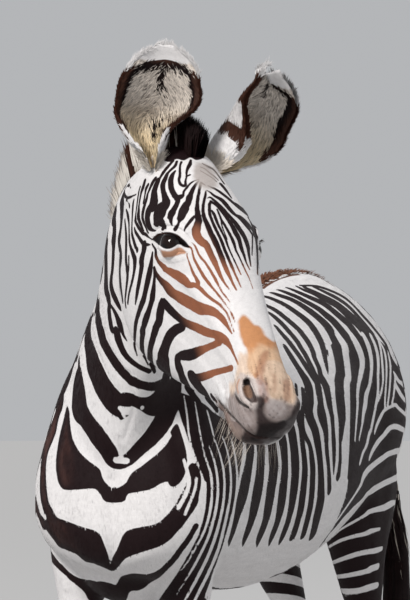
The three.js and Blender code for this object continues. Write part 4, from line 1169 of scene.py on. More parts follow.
def make_skin(hues):
    """The skin as one piece with its ears, and the arrays that the coat grows from."""
    body = build_skin_form()
    sculpt(body)
    canvas = Canvas(body.data)
    bpy.data.meshes.remove(body.data)  # takes the object with it
    field, pale, dark = mark(canvas, hues)
    points = canvas.points
    # every face as four corners; a triangle's last corner comes twice
    squares = [f if len(f) == 4 else np.append(f, f[-1]) for f in canvas.faces if len(f) <= 4]
    fans = [(f[0], f[k], f[k + 1], f[k + 1]) for f in canvas.faces if len(f) > 4 for k in range(1, len(f) - 1)]
    faces = np.vstack((np.array(squares), np.array(fans, int).reshape(-1, 4)))
    parts = [(points, faces, field, pale, dark)] + [ear_mesh(ear) for ear in EARS.values()]
    starts = np.cumsum([0] + [len(part[0]) for part in parts])
    corners = np.vstack([part[1] + start for part, start in zip(parts, starts)])
    every, ink, light, deep = (np.concatenate([part[k] for part in parts]) for k in (0, 2, 3, 4))
    real = [f.tolist() if f[3] != f[2] else f[:3].tolist() for f in corners]
    piece = mesh_object("skin", to_model(every), real)
    put_layers(piece.data, ink, light, deep, every * GRAIN)
    piece.data.materials.append(coat_material("coat"))
    finish_piece(piece, "coat", *FLESH, "ear_right", "ear_left")
    BUILT["tree"] = canvas.tree
    BUILT["coat"] = (points, faces, canvas.normals, field, pale, dark)


# ---- Stage ----------------------------------------------------------------------------------
FLOOR_RADIUS = 24.0
FLOOR_SIDES = 96
LIGHT_AIM = Vector((0, -0.2, 1.1))


def aimed(piece, way):
    """Turns a light so that it shines along a direction."""
    piece.rotation_euler = way.to_track_quat("-Z", "Y").to_euler()


def make_stage(look):
    scene = bpy.context.scene
    camera = scene.camera = add_piece("camera", bpy.data.cameras.new("camera"))
    camera.data.sensor_fit = "VERTICAL"
    camera.data.sensor_height = SENSOR
    camera.data.lens = FOCAL_PIXELS * SENSOR / VIEW_HEIGHT
    camera.data.clip_end = 100
    camera.location = to_model(CAMERA_PLACE)
    camera.rotation_euler = (math.pi / 2, 0, CAMERA_AZIMUTH)
    ring = [2 * math.pi * i / FLOOR_SIDES for i in range(FLOOR_SIDES)]
    ring = [(FLOOR_RADIUS * math.cos(turn), FLOOR_RADIUS * math.sin(turn), 0) for turn in ring]
    floor = mesh_object("floor", ring, [range(FLOOR_SIDES)])
    made, _, shader = material("floor", 0.9, 0.0)
    shader["Base Color"].default_value = (*look.floor, 1)
    floor.data.materials.append(made)
    sun = bpy.data.lights.new("key", "SUN")
    sun.energy, sun.angle, sun.color = look.key, look.softness, (1.0, 0.97, 0.94)
    aimed(add_piece("key", sun), Vector(VIEW_AXIS * 0.80 + VIEW_RIGHT * 0.48 - np.array((0, 0, 0.72))))
    soft_lights = (("fill", (6.5, -4.5, 3.4), 5.0, look.fill), ("rim", (3.0, 6.0, 5.0), 4.0, look.rim))
    for name, place, size, watts in soft_lights:
        light = bpy.data.lights.new(name, "AREA")
        light.size, light.energy = size, watts
        holder = add_piece(name, light)
        holder.location = place
        aimed(holder, LIGHT_AIM - Vector(place))
    world = scene.world = bpy.data.worlds.new("studio")
    world.use_nodes = True
    back = world.node_tree.nodes["Background"].inputs
    back["Color"].default_value = (0.97, 0.99, 1.02, 1)
    back["Strength"].default_value = look.sky
    scene.view_settings.view_transform = "Standard"


# ---- Ears -----------------------------------------------------------------------------------
# Each ear is a rolled shell: at a share s of its length it is an arc that spans `wrap`
# degrees each way from the middle of its back, `half` wide and `deep` from back to rim.
EAR_SHAPE = {
    "half": (12, 22, 38, 50, 66, 78, 82, 79, 70, 53, 22),
    "deep": (24, 44, 62, 72, 68, 55, 43, 32, 23, 16, 7),
    "wrap": (155, 146, 133, 120, 108, 97, 88, 81, 75, 70, 66),
    "outward": (3, 9, 20, 26, 22, 10, 5, 5, 1, 0, 0),
    "thick": (11, 10, 9, 8, 7, 6.5, 6, 6, 6, 5.5, 5),
}
EARS = {
    "right": {
        "side": -1, "root": (-66, -14, -42), "tip": (0.09, 0.03, 0.99), "front": (0.38, -0.925, 0),
        "bow": (0, 0, 0), "hood": 0,
    },
    "left": {
        "side": 1, "root": (70, -10, -38), "tip": (0.47, 0.17, 0.86), "front": (0.974, -0.225, 0),
        "bow": (44, 18, 0), "hood": 38,
    },
}
EAR_ROWS = 52
EAR_COLUMNS = 41
EAR_BROWN = srgb(0.25, 0.15, 0.11)


def ear_points(ear, s, turn, inner):
    """Points of an ear's shell; s runs from its root to its tip and turn from rim to rim."""
    shape = {key: through(values, s) for key, values in EAR_SHAPE.items()}
    along = unit(ear["tip"])
    front = np.array(ear["front"], float)
    front = unit(front - along * (front @ along))
    across = np.cross(along, front)
    inset = shape["thick"] * inner * ease(1.0, 0.9, np.abs(turn))
    angle = np.radians(shape["wrap"]) * turn
    half = np.maximum(shape["half"] - inset, 1.5)
    hood = ear["hood"] * ease(0.5, 0.92, s)
    ripple = (1.2 * np.sin(9 * turn + 3 * s) + 0.8 * np.sin(17 * turn)) * ease(0.05, 0.3, s) * ease(1.0, 0.8, s)
    deep = np.maximum(shape["deep"] + hood - inset, 1.2) + ripple * inner
    rise = EAR_LENGTH * (s - 0.06) - 0.7 * ear["hood"] * ease(0.72, 1.0, s) * (1 - turn**2)
    columns = (
        (rise, along),
        (half * np.sin(angle) + ear["side"] * shape["outward"], across),
        (inset + deep * (1 - np.cos(angle)) - shape["deep"] - 0.22 * hood, front),
        (np.sin(np.pi * s**1.3), np.array(ear["bow"], float)),
    )
    return from_head(ear["root"]) + sum(share[..., None] * way for share, way in columns)


def ear_colours(s, turn, inner, points):
    """Field, pale and dark colour over an ear."""
    rag = wobble(points, 11.0)
    side = np.abs(turn)
    pale, dark = np.array(WHITE), np.array(EAR_BROWN)
    if inner:
        rim = 190 * (side - 0.70 - 0.20 * ease(0.55, 0.25, s))
        top = (s - 0.775 - 0.03 * np.cos(5 * turn)) * 220
        band = np.where(s < 0.22, -12, np.maximum(rim, top) + 4.0 * rag)
        spot = np.minimum((0.10 - side) * 90, (s - 0.62) * 150) + 3 * rag - 2
        crease = np.minimum(s - 0.08, 0.36 - s) * 150
        crease = np.minimum((0.07 - np.abs(turn - 0.30 + 0.5 * (s - 0.2))) * 90, crease) + 2 * rag
        band = np.maximum(band, np.maximum(spot, crease))
        band = np.minimum(band, (0.885 - s - 0.12 * side**2) * 250 + 3 * rag)
        grey, warm = srgb(0.82, 0.78, 0.74), srgb(0.88, 0.80, 0.66)
        hue = blend(grey, warm, ease(0.5, 0.12, s + 0.1 * rag)[..., None])
        # Darker towards the middle of the cup, halfway up: painted shade in the ear's hollow.
        deep = ease(0.55, 0.1, side) * ease(0.1, 0.3, s) * ease(0.9, 0.6, s) * ease(-0.2, 0.7, rag)
        pale = np.where((s > 0.86 - 0.12 * side**2)[..., None], pale, hue * (1 - 0.28 * deep[..., None]))
        dark = blend(dark, NEAR_BLACK, (ease(0.98, 0.8, side) * ease(0.9, 0.8, s))[..., None])
    else:
        band = np.minimum((s - 0.50) * 240, (0.83 - s) * 240) + 4 * rag
        band = np.maximum(band, np.minimum((s - 0.24) * 240, (0.36 - s) * 240) + 4 * rag - 3)
        edge = (side - 0.86) * 90 + 2 * rag
        band = np.where((s > 0.2) & (s < 0.78), np.maximum(band, edge), band)
    return band, *(np.broadcast_to(hue, s.shape + (3,)) for hue in (pale, dark))


def ear_mesh(ear):
    """Points, faces, field and colours of one ear's closed shell."""
    s, turn = np.meshgrid(np.linspace(0, 1, EAR_ROWS), np.linspace(-1, 1, EAR_COLUMNS), indexing="ij")
    sides = [ear_points(ear, s, turn, inner) for inner in (0.0, 1.0)]
    tones = [ear_colours(s, turn, inner, p) for inner, p in zip((False, True), sides)]
    index = np.arange(s.size).reshape(s.shape)
    a, b, c, d = (part.ravel() for part in (index[:-1, :-1], index[:-1, 1:], index[1:, 1:], index[1:, :-1]))
    border = np.concatenate((index[0], index[1:, -1], index[-1, -2::-1], index[-2:0:-1, 0]))
    after = np.roll(border, -1)
    quads = (
        np.stack((a, b, c, d), -1),
        np.stack((a, d, c, b), -1) + s.size,
        np.stack((border, border + s.size, after + s.size, after), -1),
    )
    band, pale, dark = (np.concatenate([t[k].reshape(s.size, -1) for t in tones]) for k in range(3))
    return np.concatenate([p.reshape(-1, 3) for p in sides]), np.concatenate(quads), band[:, 0], pale, dark


# ---- Hair -----------------------------------------------------------------------------------
TUFT_PATCH = 0.0014  # half the side of a tuft's patch on the unwrap


class Hair:
    """Tufts gathered into one mesh. Each is a closed spike with three sides."""

    def __init__(self):
        self.count = 0
        self.rows = {key: [] for key in ("points", "faces", "spots", "lean", "ink", "pale", "dark", "grain")}

    def keep(self, key, block):
        self.rows[key].append(block.reshape(-1, block.shape[-1]))

    def add(self, roots, ways, normals, lengths, widths, ink, pale, dark, levels=1, bend=(0, 0, 0), flat=0.4,
            spots=None, tip=None):
        """roots, ways and normals by row; bend is added along each tuft, most at its tip."""
        count, size = len(roots), levels * 3 + 1
        ways = unit(ways)
        across = unit(np.cross(ways, normals))
        over = np.cross(across, ways)
        lengths, half = lengths[:, None], widths[:, None] / 2
        rings = []
        for t in np.arange(levels) / levels:
            middle = roots + ways * (lengths * t) + bend * (lengths * t * t)
            thick = half * (1 - 0.75 * t**1.4)
            rings += [middle + across * thick * x + over * thick * y for x, y in ((-1, 0), (1, 0), (0, 2 * flat))]
        rings.append(roots + ways * lengths + bend * lengths)
        points = np.stack(rings, 1)
        faces = [(0, 1, 2)]
        for a in range(0, 3 * levels - 3, 3):
            for i, j in ((0, 1), (1, 2), (2, 0)):
                faces += [(a + j, a + i, a + 3 + j), (a + 3 + j, a + i, a + 3 + i)]
        a = 3 * (levels - 1)
        faces += [(a + 1, a, size - 1), (a + 2, a + 1, size - 1), (a, a + 2, size - 1)]
        self.keep("points", points)
        self.keep("faces", np.array(faces)[None] + (self.count + size * np.arange(count))[:, None, None])
        soft = normals * 0.75 + over * 0.25
        self.keep("lean", soft[:, None] + (points - points.mean(1, keepdims=True)) * 0.02)
        rise = np.append(np.repeat(np.arange(levels) / levels, 3), 1.0)
        corner = np.column_stack(([-1, 0, 1] * levels + [0], rise * 2 - 1)) * TUFT_PATCH
        self.keep("spots", (unwrap(roots) if spots is None else spots)[:, None] + corner)
        layers = {"ink": np.reshape(ink, (-1, 1)), "pale": pale, "dark": dark, "grain": roots * GRAIN}
        for key, values in layers.items():
            values = np.atleast_2d(values)
            block = np.repeat(np.broadcast_to(values, (count, values.shape[1]))[:, None], size, 1)
            if tip and key == "pale":
                block = blend(block, tip[0], ease(tip[1], 1.0, rise)[:, None])
            self.keep(key, block)
        self.count += size * count

    def build(self, name, slot, look="hair"):
        every = {key: np.concatenate(rows) for key, rows in self.rows.items()}
        mesh = fast_mesh(name, every["points"], every["faces"])
        put_layers(mesh, *(every[key] for key in ("ink", "pale", "dark", "grain")))
        put_unwrap(mesh, every["spots"], every["faces"])
        mesh.shade_smooth()
        mesh.normals_split_custom_set_from_vertices(unit(every["lean"]))
        finish_piece(add_piece(name, mesh, bpy.data.materials[look]), slot)


def shades(rng, colour, low, high, count):
    """A colour for each tuft, darker or paler by chance."""
    return np.array(tuple(colour)) * rng.uniform(low, high, (count, 1))


def straight(way, count):
    return np.tile(way, (count, 1))


def unwrap(points):
    """Places on a flat unwrap of the body: a chart each for the head, the body and the legs."""
    local = to_head(points)
    head = head_share(points) > 0.5
    x = points[:, 0] - sway(points[:, 1])
    turn = np.arctan2(x, points[:, 2] - 1100) / (2 * np.pi) + 0.5
    body = np.stack((0.02 + 0.96 * turn, 0.02 + 0.5 * ease01(points[:, 1], -950, 800)), -1)
    spin = np.arctan2(local[:, 0], local[:, 2] + 120) / (2 * np.pi) + 0.5
    face = np.stack((0.02 + 0.45 * spin, 0.56 + 0.4 * ease01(local[:, 1], -660, 70)), -1)
    leg = points[:, 2] < 800
    which = 2 * (points[:, 1] > 100) + (x > 0)
    around = np.where(points[:, 1] > 100, 640.0, -500.0)
    centre = np.where(x > 0, 100.0, -150.0)
    wheel = np.arctan2(points[:, 1] - around, x - centre) / (2 * np.pi) + 0.5
    limb = np.stack((0.52 + 0.11 * which + 0.1 * wheel, 0.56 + 0.4 * ease01(points[:, 2], 60, 820)), -1)
    return np.where(head[:, None], face, np.where(leg[:, None], limb, body))


def ease01(value, low, high):
    return np.clip((value - low) / (high - low), 0, 1)


def hair_lie(points):
    """The way the coat lies at each point."""
    face = head_way(0.0, 1.0, -0.25) + head_way(1.0, 0.0, 0.0) * (to_head(points)[:, :1] / 160)
    trunk = straight((0.0, 0.75, -0.62), len(points))
    trunk[:, 2] -= 0.6 * ease(-500, -720, points[:, 1])
    trunk = blend(trunk, (0.0, 0.35, -0.9), ease(-560, -700, neck_slope(points))[:, None])
    trunk = blend(trunk, (0.0, 0.12, -1.0), leg_share(points[:, 2])[:, None])
    return unit(blend(trunk, face, head_share(points)[:, None]))


def scatter(rng, points, faces, normals, count, weight):
    """Random places on a mesh of quads or triangles: indices of nearest corner, and the places."""
    a, b, c = points[faces[:, 0]], points[faces[:, 1]], points[faces[:, 2]]
    d = points[faces[:, -1]]
    area = np.linalg.norm(np.cross(c - a, d - b), axis=1) / 2
    share = area * weight
    chosen = np.searchsorted(np.cumsum(share) / share.sum(), rng.random(count))
    u, v = rng.random((2, count, 1))
    f = faces[chosen]
    low = points[f[:, 0]] * (1 - u) + points[f[:, 1]] * u
    high = points[f[:, -1]] * (1 - u) + points[f[:, 2]] * u
    left = u[:, 0] < 0.5
    nearest = np.where(v[:, 0] < 0.5, np.where(left, f[:, 0], f[:, 1]), np.where(left, f[:, -1], f[:, 2]))
    return nearest, low * (1 - v) + high * v


# ---- Mane, forelock and tail ----------------------------------------------------------------
MANE_LINE = [
    ((26, -430, 1490), 0.4), ((50, -552, 1560), 0.8), ((74, -660, 1628), 1.0), ((122, -768, 1676), 1.0),
    ((202, -858, 1696), 1.05),
]


def mane_path(step, tree, tall):
    """Rows of the mane's foot, its upward direction, its height and its place from 0 to 1."""
    foot = [p for p, _ in MANE_LINE] + [from_head((0, 18, -34)), from_head((0, -40, -6))]
    ups = [unit(np.array(crest, float) - np.array(throat)) for crest, throat in NECK_LINE[1:-1]]
    ups += [head_way(0, 0.75, 0.65), head_way(0, 0.6, 0.8)]
    heights = [s * tall for _, s in MANE_LINE] + [1.0 * tall, 0.85 * tall]
    rows = np.column_stack((np.array(foot), np.array(ups), heights))
    length = np.linalg.norm(np.diff(rows[:, :3], axis=0), axis=1).sum()
    t = np.linspace(0, 1, int(length / step) + 1)
    rows = through(rows, t)
    foot, up = rows[:, :3], unit(rows[:, 3:6])
    # near the withers the foot moves over to the skin on the far side
    for i, share in enumerate(hump(t, 0.18, 0.165)):
        if share > 0.02:
            place, normal, _, _ = tree.find_nearest(Vector(foot[i] - VIEW_RIGHT * 84 * share))
            foot[i] = np.array(place) - 5 * share * np.array(normal)
            up[i] = unit(blend(up[i], normal, 0.42 * share))
    for _ in range(6):
        foot[1:-1] = foot[1:-1] * 0.5 + (foot[:-2] + foot[2:]) * 0.25
        up[1:-1] = unit(up[1:-1] * 0.5 + (up[:-2] + up[2:]) * 0.25)
    return foot, up, rows[:, 6], t


def loft_mesh(rings):
    """Points and triangles of a closed tube through rings of points."""
    rings = np.asarray(rings)
    count, sides = rings.shape[:2]
    index = np.arange(count * sides).reshape(count, sides)
    after = np.roll(index, -1, axis=1)
    a, b, c, d = (part.ravel() for part in (index[:-1], after[:-1], after[1:], index[1:]))
    ends = count * sides + np.array((0, 1))
    low = np.stack((after[0], index[0], np.full(sides, ends[0])), -1)
    high = np.stack((index[-1], after[-1], np.full(sides, ends[1])), -1)
    triangles = np.concatenate((np.stack((a, b, c), -1), np.stack((a, c, d), -1), low, high))
    return np.vstack((rings.reshape(-1, 3), rings[0].mean(0), rings[-1].mean(0))), triangles


def add_core(name, slot, covered, form, ink, pale, dark):
    """The closed body inside long hair."""
    points, triangles = form
    mesh = fast_mesh(name, points, triangles)
    put_layers(mesh, ink, pale, dark, points * MM)
    put_unwrap(mesh, unwrap(points), triangles)
    finish_piece(add_piece(name, mesh, bpy.data.materials["hair"]), slot, covered)


def turns(sides):
    return np.linspace(0, 2 * np.pi, sides, endpoint=False)


MANE_SIDES = 12


def mane_band(points, t):
    """The mane carries on the neck's stripes, with more white behind the ears."""
    return neck_band(points) - 34 * hump(t, 0.33, 0.17) - 12 * ease(0.5, 0.7, t)


def make_mane(tree, look):
    rng = np.random.default_rng(11)
    foot, up, height, t = mane_path(9.0, tree, look.height / MM)
    brown = tuple(look.brown)
    along = unit(np.gradient(foot, axis=0))
    across = unit(np.cross(along, up))
    rings = []
    for c, s in zip(np.cos(turns(MANE_SIDES)), np.sin(turns(MANE_SIDES))):
        reach = np.where(s > 0, 0.80 * height, 16)
        width = 15.0 * (1 - 0.35 * max(s, 0))
        rings.append(foot + across * (c * width) + up * (s * reach)[:, None])
    rings = np.stack(rings, 1)
    for end, share in ((0, 0.05), (-1, 0.3)):
        rings[end] = blend(rings[end].mean(0), rings[end], share)
    form = loft_mesh(rings)
    part = np.concatenate((np.repeat(t, MANE_SIDES), (0.0, 1.0)))
    band = np.where(part > 0.87, 20.0, mane_band(form[0], part))
    add_core("mane_core", "mane_hair", "mane", form, band, srgb(0.80, 0.75, 0.69), brown)

    count = look.locks
    place = rng.random(count)
    i = np.minimum((place * (len(t) - 1)).astype(int), len(t) - 2)
    f = place * (len(t) - 1) - i
    at, tall = blend(foot[i], foot[i + 1], f[:, None]), blend(height[i], height[i + 1], f)
    rise, side, ahead = up[i], across[i], along[i]
    out = rng.uniform(-1, 1, count)
    front = ease(0.84, 0.9, place)  # 1 in the forelock
    low = rng.uniform(-0.12, 0.35, count) * (1 - 0.5 * front)
    roots = at + side * (out * 15.5 * (1 - 0.2 * low))[:, None] + rise * (tall * low)[:, None]
    lean = side * (out * 0.16 + rng.normal(0, 0.05, count))[:, None] + ahead * rng.normal(0.06, 0.07, count)[:, None]
    length = tall * (1.02 - low) * rng.uniform(0.86, 1.02, count) * (1 - 0.16 * out**2)
    bend = ahead * rng.normal(0.0, 0.06, count)[:, None] + side * rng.normal(0, 0.05, count)[:, None]
    band = mane_band(roots, place) + rng.normal(0, 2.0, count)
    band = np.where(front > 0.5, 20, band)
    white = shades(rng, srgb(0.93, 0.90, 0.86), 0.8, 1.05, count)
    deep = blend(brown, NEAR_BLACK, front[:, None]) * rng.uniform(0.6, 1.3, (count, 1))
    outer = side * np.where(out < 0, -1, 1)[:, None] * 0.8 + rise * 0.3
    hair = Hair()
    hair.add(roots, rise + lean, outer, length, rng.uniform(4.0, 6.5, count), band, white, deep, 3, bend, 0.45,
             tip=(brown, 0.55))
    hair.build("mane_hair", "mane_hair")


TAIL_FOOT = 905
TAIL_END = 482
# Height, place along the body and half width of the tail's tuft.
TAIL_LINE = ((TAIL_FOOT, 826, 19), (820, 824, 27), (700, 820, 33), (590, 816, 28), (510, 812, 15), (TAIL_END, 810, 4))


def dock_place(z, y):
    swing = 70 * ease(60, 620, 1345 - z)
    return np.stack((swing + sway(y), y, z), -1)


def make_tail(look):
    rng = np.random.default_rng(12)
    t = np.linspace(0, 1, 34)
    z, y, half = through(TAIL_LINE, t).T
    rings = []
    for turn in turns(16):
        size = half * (1 + 0.10 * np.sin(5 * turn + 9 * t))
        rings.append(dock_place(z, y) + np.stack((np.cos(turn) * size, np.sin(turn) * size * 0.92, 0 * size), -1))
    form = loft_mesh(np.stack(rings, 1))
    add_core("tail_core", "tail_hair", "tail_tuft", form, np.full(len(form[0]), 20.0), CREAM, tuple(look.dark))

    count = look.locks
    z = 1010 - 420 * rng.random(count) ** 1.15
    row = through(TAIL_LINE, np.clip((TAIL_FOOT - z) / (TAIL_FOOT - TAIL_END), 0, 1))
    size = np.where(z > TAIL_FOOT, 19.5, row[:, 2] * 0.86)
    turn = rng.uniform(0, 2 * np.pi, count)
    y = np.where(z > TAIL_FOOT, 826, row[:, 1])
    out = np.stack((np.cos(turn), np.sin(turn), np.zeros(count)), -1)
    roots = dock_place(z, y) + out * size[:, None]
    length = np.minimum(rng.uniform(130, 260, count), z - 474 + rng.uniform(-6, 10, count))
    ways = out * rng.uniform(0.02, 0.10, count)[:, None] - (0, 0, 1)
    swing = (dock_place(z - length, y) - dock_place(z, y)) / length[:, None]
    bend = swing * (1, 1, 0) * 0.9 - out * ease(800, 560, z - length)[:, None] * 0.11 + rng.normal(0, 0.012, (count, 3))
    pale, dark = shades(rng, CREAM, 0.7, 1.0, count), shades(rng, look.dark, 0.6, 1.7, count)
    ink = np.where((rng.random(count) < 0.16) & (z > 840), -5, 8)
    hair = Hair()
    hair.add(roots, ways, out, length, rng.uniform(5.5, 9, count), ink, pale, dark, 5, bend, 0.45)
    hair.build("tail_hair", "tail_hair")


# ---- Hooves and eyes ------------------------------------------------------------------------
HOOF = {"height": 84, "toe": 62, "heel": 56, "half": 51, "shrink": 0.74, "lean": 26}
# Side, distance from the middle, place along the body, and the hoof's shift outwards and forwards.
LEGS = {
    "fore_right": (-1, 158, -474, -6, -48),
    "fore_left": (1, 103, -520, -6, -48),
    "hind_right": (-1, 136, 712, 0, -26),
    "hind_left": (1, 88, 548, 0, -26),
}


def make_hooves(look):
    made, tree, shader = material("hoof", 0.42, coat=0.08)
    place = node(tree, "TexCoord")["Object"]
    growth, fibre = (
        noise(tree, node(tree, "Mapping", {"Vector": place, "Scale": scale})[0], 1.0, detail)
        for scale, detail in (((26, 26, 260), 3.0), ((420, 420, 16), 2.0))
    )
    tone = mixed(tree, growth, look.dark, look.pale)
    tone = mixed(tree, maths(tree, "MULTIPLY", fibre, 0.5), tone, srgb(0.24, 0.20, 0.17))
    plug(tree, shader["Base Color"], tone)
    bump(tree, shader, 0.6, 0.0015, maths(tree, "ADD", growth, fibre))
    z = np.linspace(0, 1, 40)
    share = 1 + (HOOF["shrink"] - 1) * z
    rim = 2.2 * hump(z, 0.93, 0.06) - 1.4 * ease(0.95, 1.0, z) - 2.5 * ease(0.05, 0.0, z)
    for name, (side, stance, foot, out, base) in LEGS.items():
        rings = []
        for turn in turns(64):
            c, s = np.cos(turn), np.sin(turn)
            swell = rim + 0.9 * np.sin(46 * z + 0.6 * np.sin(2 * turn)) * ease(0, 0.1, z) * ease(1.0, 0.9, z)
            power, reach = (2.2, HOOF["toe"]) if s > 0 else (2.8, HOOF["heel"])
            cleft = 1 - 0.10 * hump(s, -1.0, 0.16) * (1 - 0.4 * z)
            wide = (HOOF["half"] * share + swell) * np.sign(c) * abs(c) ** (2 / power)
            ahead = (reach * share * cleft + swell) * np.sign(s) * abs(s) ** (2 / power)
            y = foot + base + 2 - HOOF["lean"] * (1 - z) - ahead
            rings.append(np.stack((side * (stance + out) + wide + sway(y), y, z * HOOF["height"]), -1))
        mesh = fast_mesh(name + "_horn", *loft_mesh(np.stack(rings, 1)))
        mesh.shade_smooth()
        finish_piece(add_piece(name + "_horn", mesh, made), "hoof", name + "_hoof")


def make_eyes(look):
    made, tree, shader = material("eye", 0.08, 0.28, coat_roughness=0.02)
    tone = mixed(tree, attribute(tree, "iris"), look.white, look.iris)
    plug(tree, shader["Base Color"], mixed(tree, attribute(tree, "pupil"), tone, srgb(0.015, 0.012, 0.02)))
    for side, name in ((-1, "right"), (1, "left")):
        axis = head_way(side * 0.9, -0.36, 0.05)
        level = unit(np.cross(axis, head_way(0, 0.25, 1.0)))
        sphere = bmesh.new()
        bmesh.ops.create_uvsphere(sphere, u_segments=72, v_segments=48, radius=1.0)
        mesh = bpy.data.meshes.new("eyeball_" + name)
        sphere.to_mesh(mesh)
        sphere.free()
        ball = coordinates(mesh)
        ahead = ball[:, 2]
        cornea = 1 + 0.045 * ease(0.72, 1.0, ahead)
        points = ball @ np.array((level, np.cross(level, axis), axis)) * (look.radius / MM * cornea)[:, None]
        set_coordinates(mesh, to_model(eye_middle(side) + points))
        put(mesh, "iris", "FLOAT", "value", ease(0.55, 0.72, ahead))
        pupil = ease(1.25, 0.85, np.hypot(ball[:, 0] / 0.30, ball[:, 1] / 0.15)) * (ahead > 0)
        put(mesh, "pupil", "FLOAT", "value", pupil)
        mesh.shade_smooth()
        finish_piece(add_piece("eyeball_" + name, mesh, made), "eye", "eye_" + name)


# ---- Coat -----------------------------------------------------------------------------------
COAT_PIECES = ("coat_head", "coat_neck", "coat_middle", "coat_rear")


def make_coat(look, skin_points, faces, normals, field, pale, dark):
    rng = np.random.default_rng(7)
    centre = skin_points[faces].mean(1)
    on_head = head_share(centre) > 0.5
    weight = np.where(on_head, 2.6, 1.0) * (eye_gap(centre) > 31) * (centre[:, 2] >= 95)
    weight = weight * np.where(on_head & (to_head(centre)[:, 1] < -560), 0.35, 1.0)
    count = look.tufts
    near, roots = scatter(rng, skin_points, faces, normals, count, weight)
    share = head_share(skin_points)[near]
    leg = ease(900, 700, roots[:, 2]) * (1 - share)
    n = normals[near]
    ways = hair_lie(roots) + rng.normal(0, 0.10, (count, 3))
    ways = unit(ways - n * (ways * n).sum(1, keepdims=True))
    lift = rng.uniform(0.04, 0.13, count)
    length = look.length / MM * (1 - 0.55 * share - 0.27 * leg) * rng.uniform(0.75, 1.2, count)
    length = length * (0.35 + 0.65 * ease(1.0, 9.0, np.abs(field[near])))
    width = look.width / MM * (1 - 0.5 * share - 0.19 * leg) * rng.uniform(0.8, 1.2, count)
    roots = roots - n * 0.5
    tone = rng.uniform(0.9, 1.05, (count, 1))
    rows = (roots, ways + n * lift[:, None], n, length, width, field[near], pale[near] * tone, dark[near] * tone)
    for name, some in zip(COAT_PIECES, np.array_split(np.argsort(roots[:, 1]), len(COAT_PIECES))):
        hair = Hair()
        hair.add(*(row[some] for row in rows), 1, flat=0.25)
        hair.build(name, "coat", "coat_tufts")


def make_ridge(look, skin_points, normals):
    """Longer hair along the spine, and fringes at the fetlocks and over the hooves."""
    rng = np.random.default_rng(17)
    hair = Hair()
    y, z = skin_points[:, 1], skin_points[:, 2]
    x = skin_points[:, 0] - sway(y)
    top = np.where((np.abs(x) < 28) & (normals[:, 2] > 0.5) & (z > 1350) & (y > -400) & (y < 690))[0]
    count = look.locks
    pick = rng.choice(top, count)
    roots = skin_points[pick] + rng.uniform(-3, 3, (count, 3)) - normals[pick] * 1.5
    middle = np.abs(x[pick]) < 22
    ways = (0.0, 0.86, 0.42) + rng.normal(0, 0.13, (count, 3))
    ways[:, 0] += x[pick] / 90
    fore = ease(120, -150, roots[:, 1])
    ways[:, 2] += 0.55 * fore
    length = look.length / MM * rng.uniform(0.7, 1.3, count) * np.where(middle, 1.0 + 0.35 * fore, 0.5)
    dark = shades(rng, look.brown, 0.6, 1.25, count)
    hair.add(roots, ways, normals[pick], length, rng.uniform(2.6, 4.4, count), np.where(middle, 6, -6),
             shades(rng, WHITE, 0.85, 1.02, count), dark, 2, np.array((0, 0.25, -0.25)))
    fetlock = np.where((z < 260) & (z > 150) & (normals[:, 1] > 0.35))[0]
    crown = np.where((z < 100) & (z > 80))[0]
    fringes = (
        (fetlock, 1400, (0.0, 0.35, -0.95), 0.12, 0.25, (12, 24), (1.6, 2.6), 2),
        (crown, 1500, (0.0, 0.0, -1.0), 0.08, 0.28, (9, 15), (1.8, 2.8), 1),
    )
    for where, count, way, mess, lift, length, width, levels in fringes:
        pick = rng.choice(where, count)
        n = normals[pick]
        ways = way + rng.normal(0, mess, (count, 3)) + n * lift
        hair.add(skin_points[pick] - n, ways, n, rng.uniform(*length, count), rng.uniform(*width, count), 6, WHITE,
                 shades(rng, BROWN, 0.7, 1.3, count), levels)
    hair.build("ridge_hair", "coat")


def ear_place(ear, s, turn, inner):
    """Places on an ear, with the ways along it, across it and out of it."""
    up = ear_points(ear, np.minimum(s + 0.01, 1), turn, inner)
    up = up - ear_points(ear, np.maximum(s - 0.01, 0), turn, inner)
    wide = ear_points(ear, s, np.minimum(turn + 0.02, 1), inner)
    wide = wide - ear_points(ear, s, np.maximum(turn - 0.02, -1), inner)
    out = unit(np.cross(wide, up)) * (1 if inner else -1)
    return ear_points(ear, s, turn, inner), unit(up), unit(wide), out


RIM_TUFTS = 2600
BACK_TUFTS = 5200
ROOT_TUFTS = 900


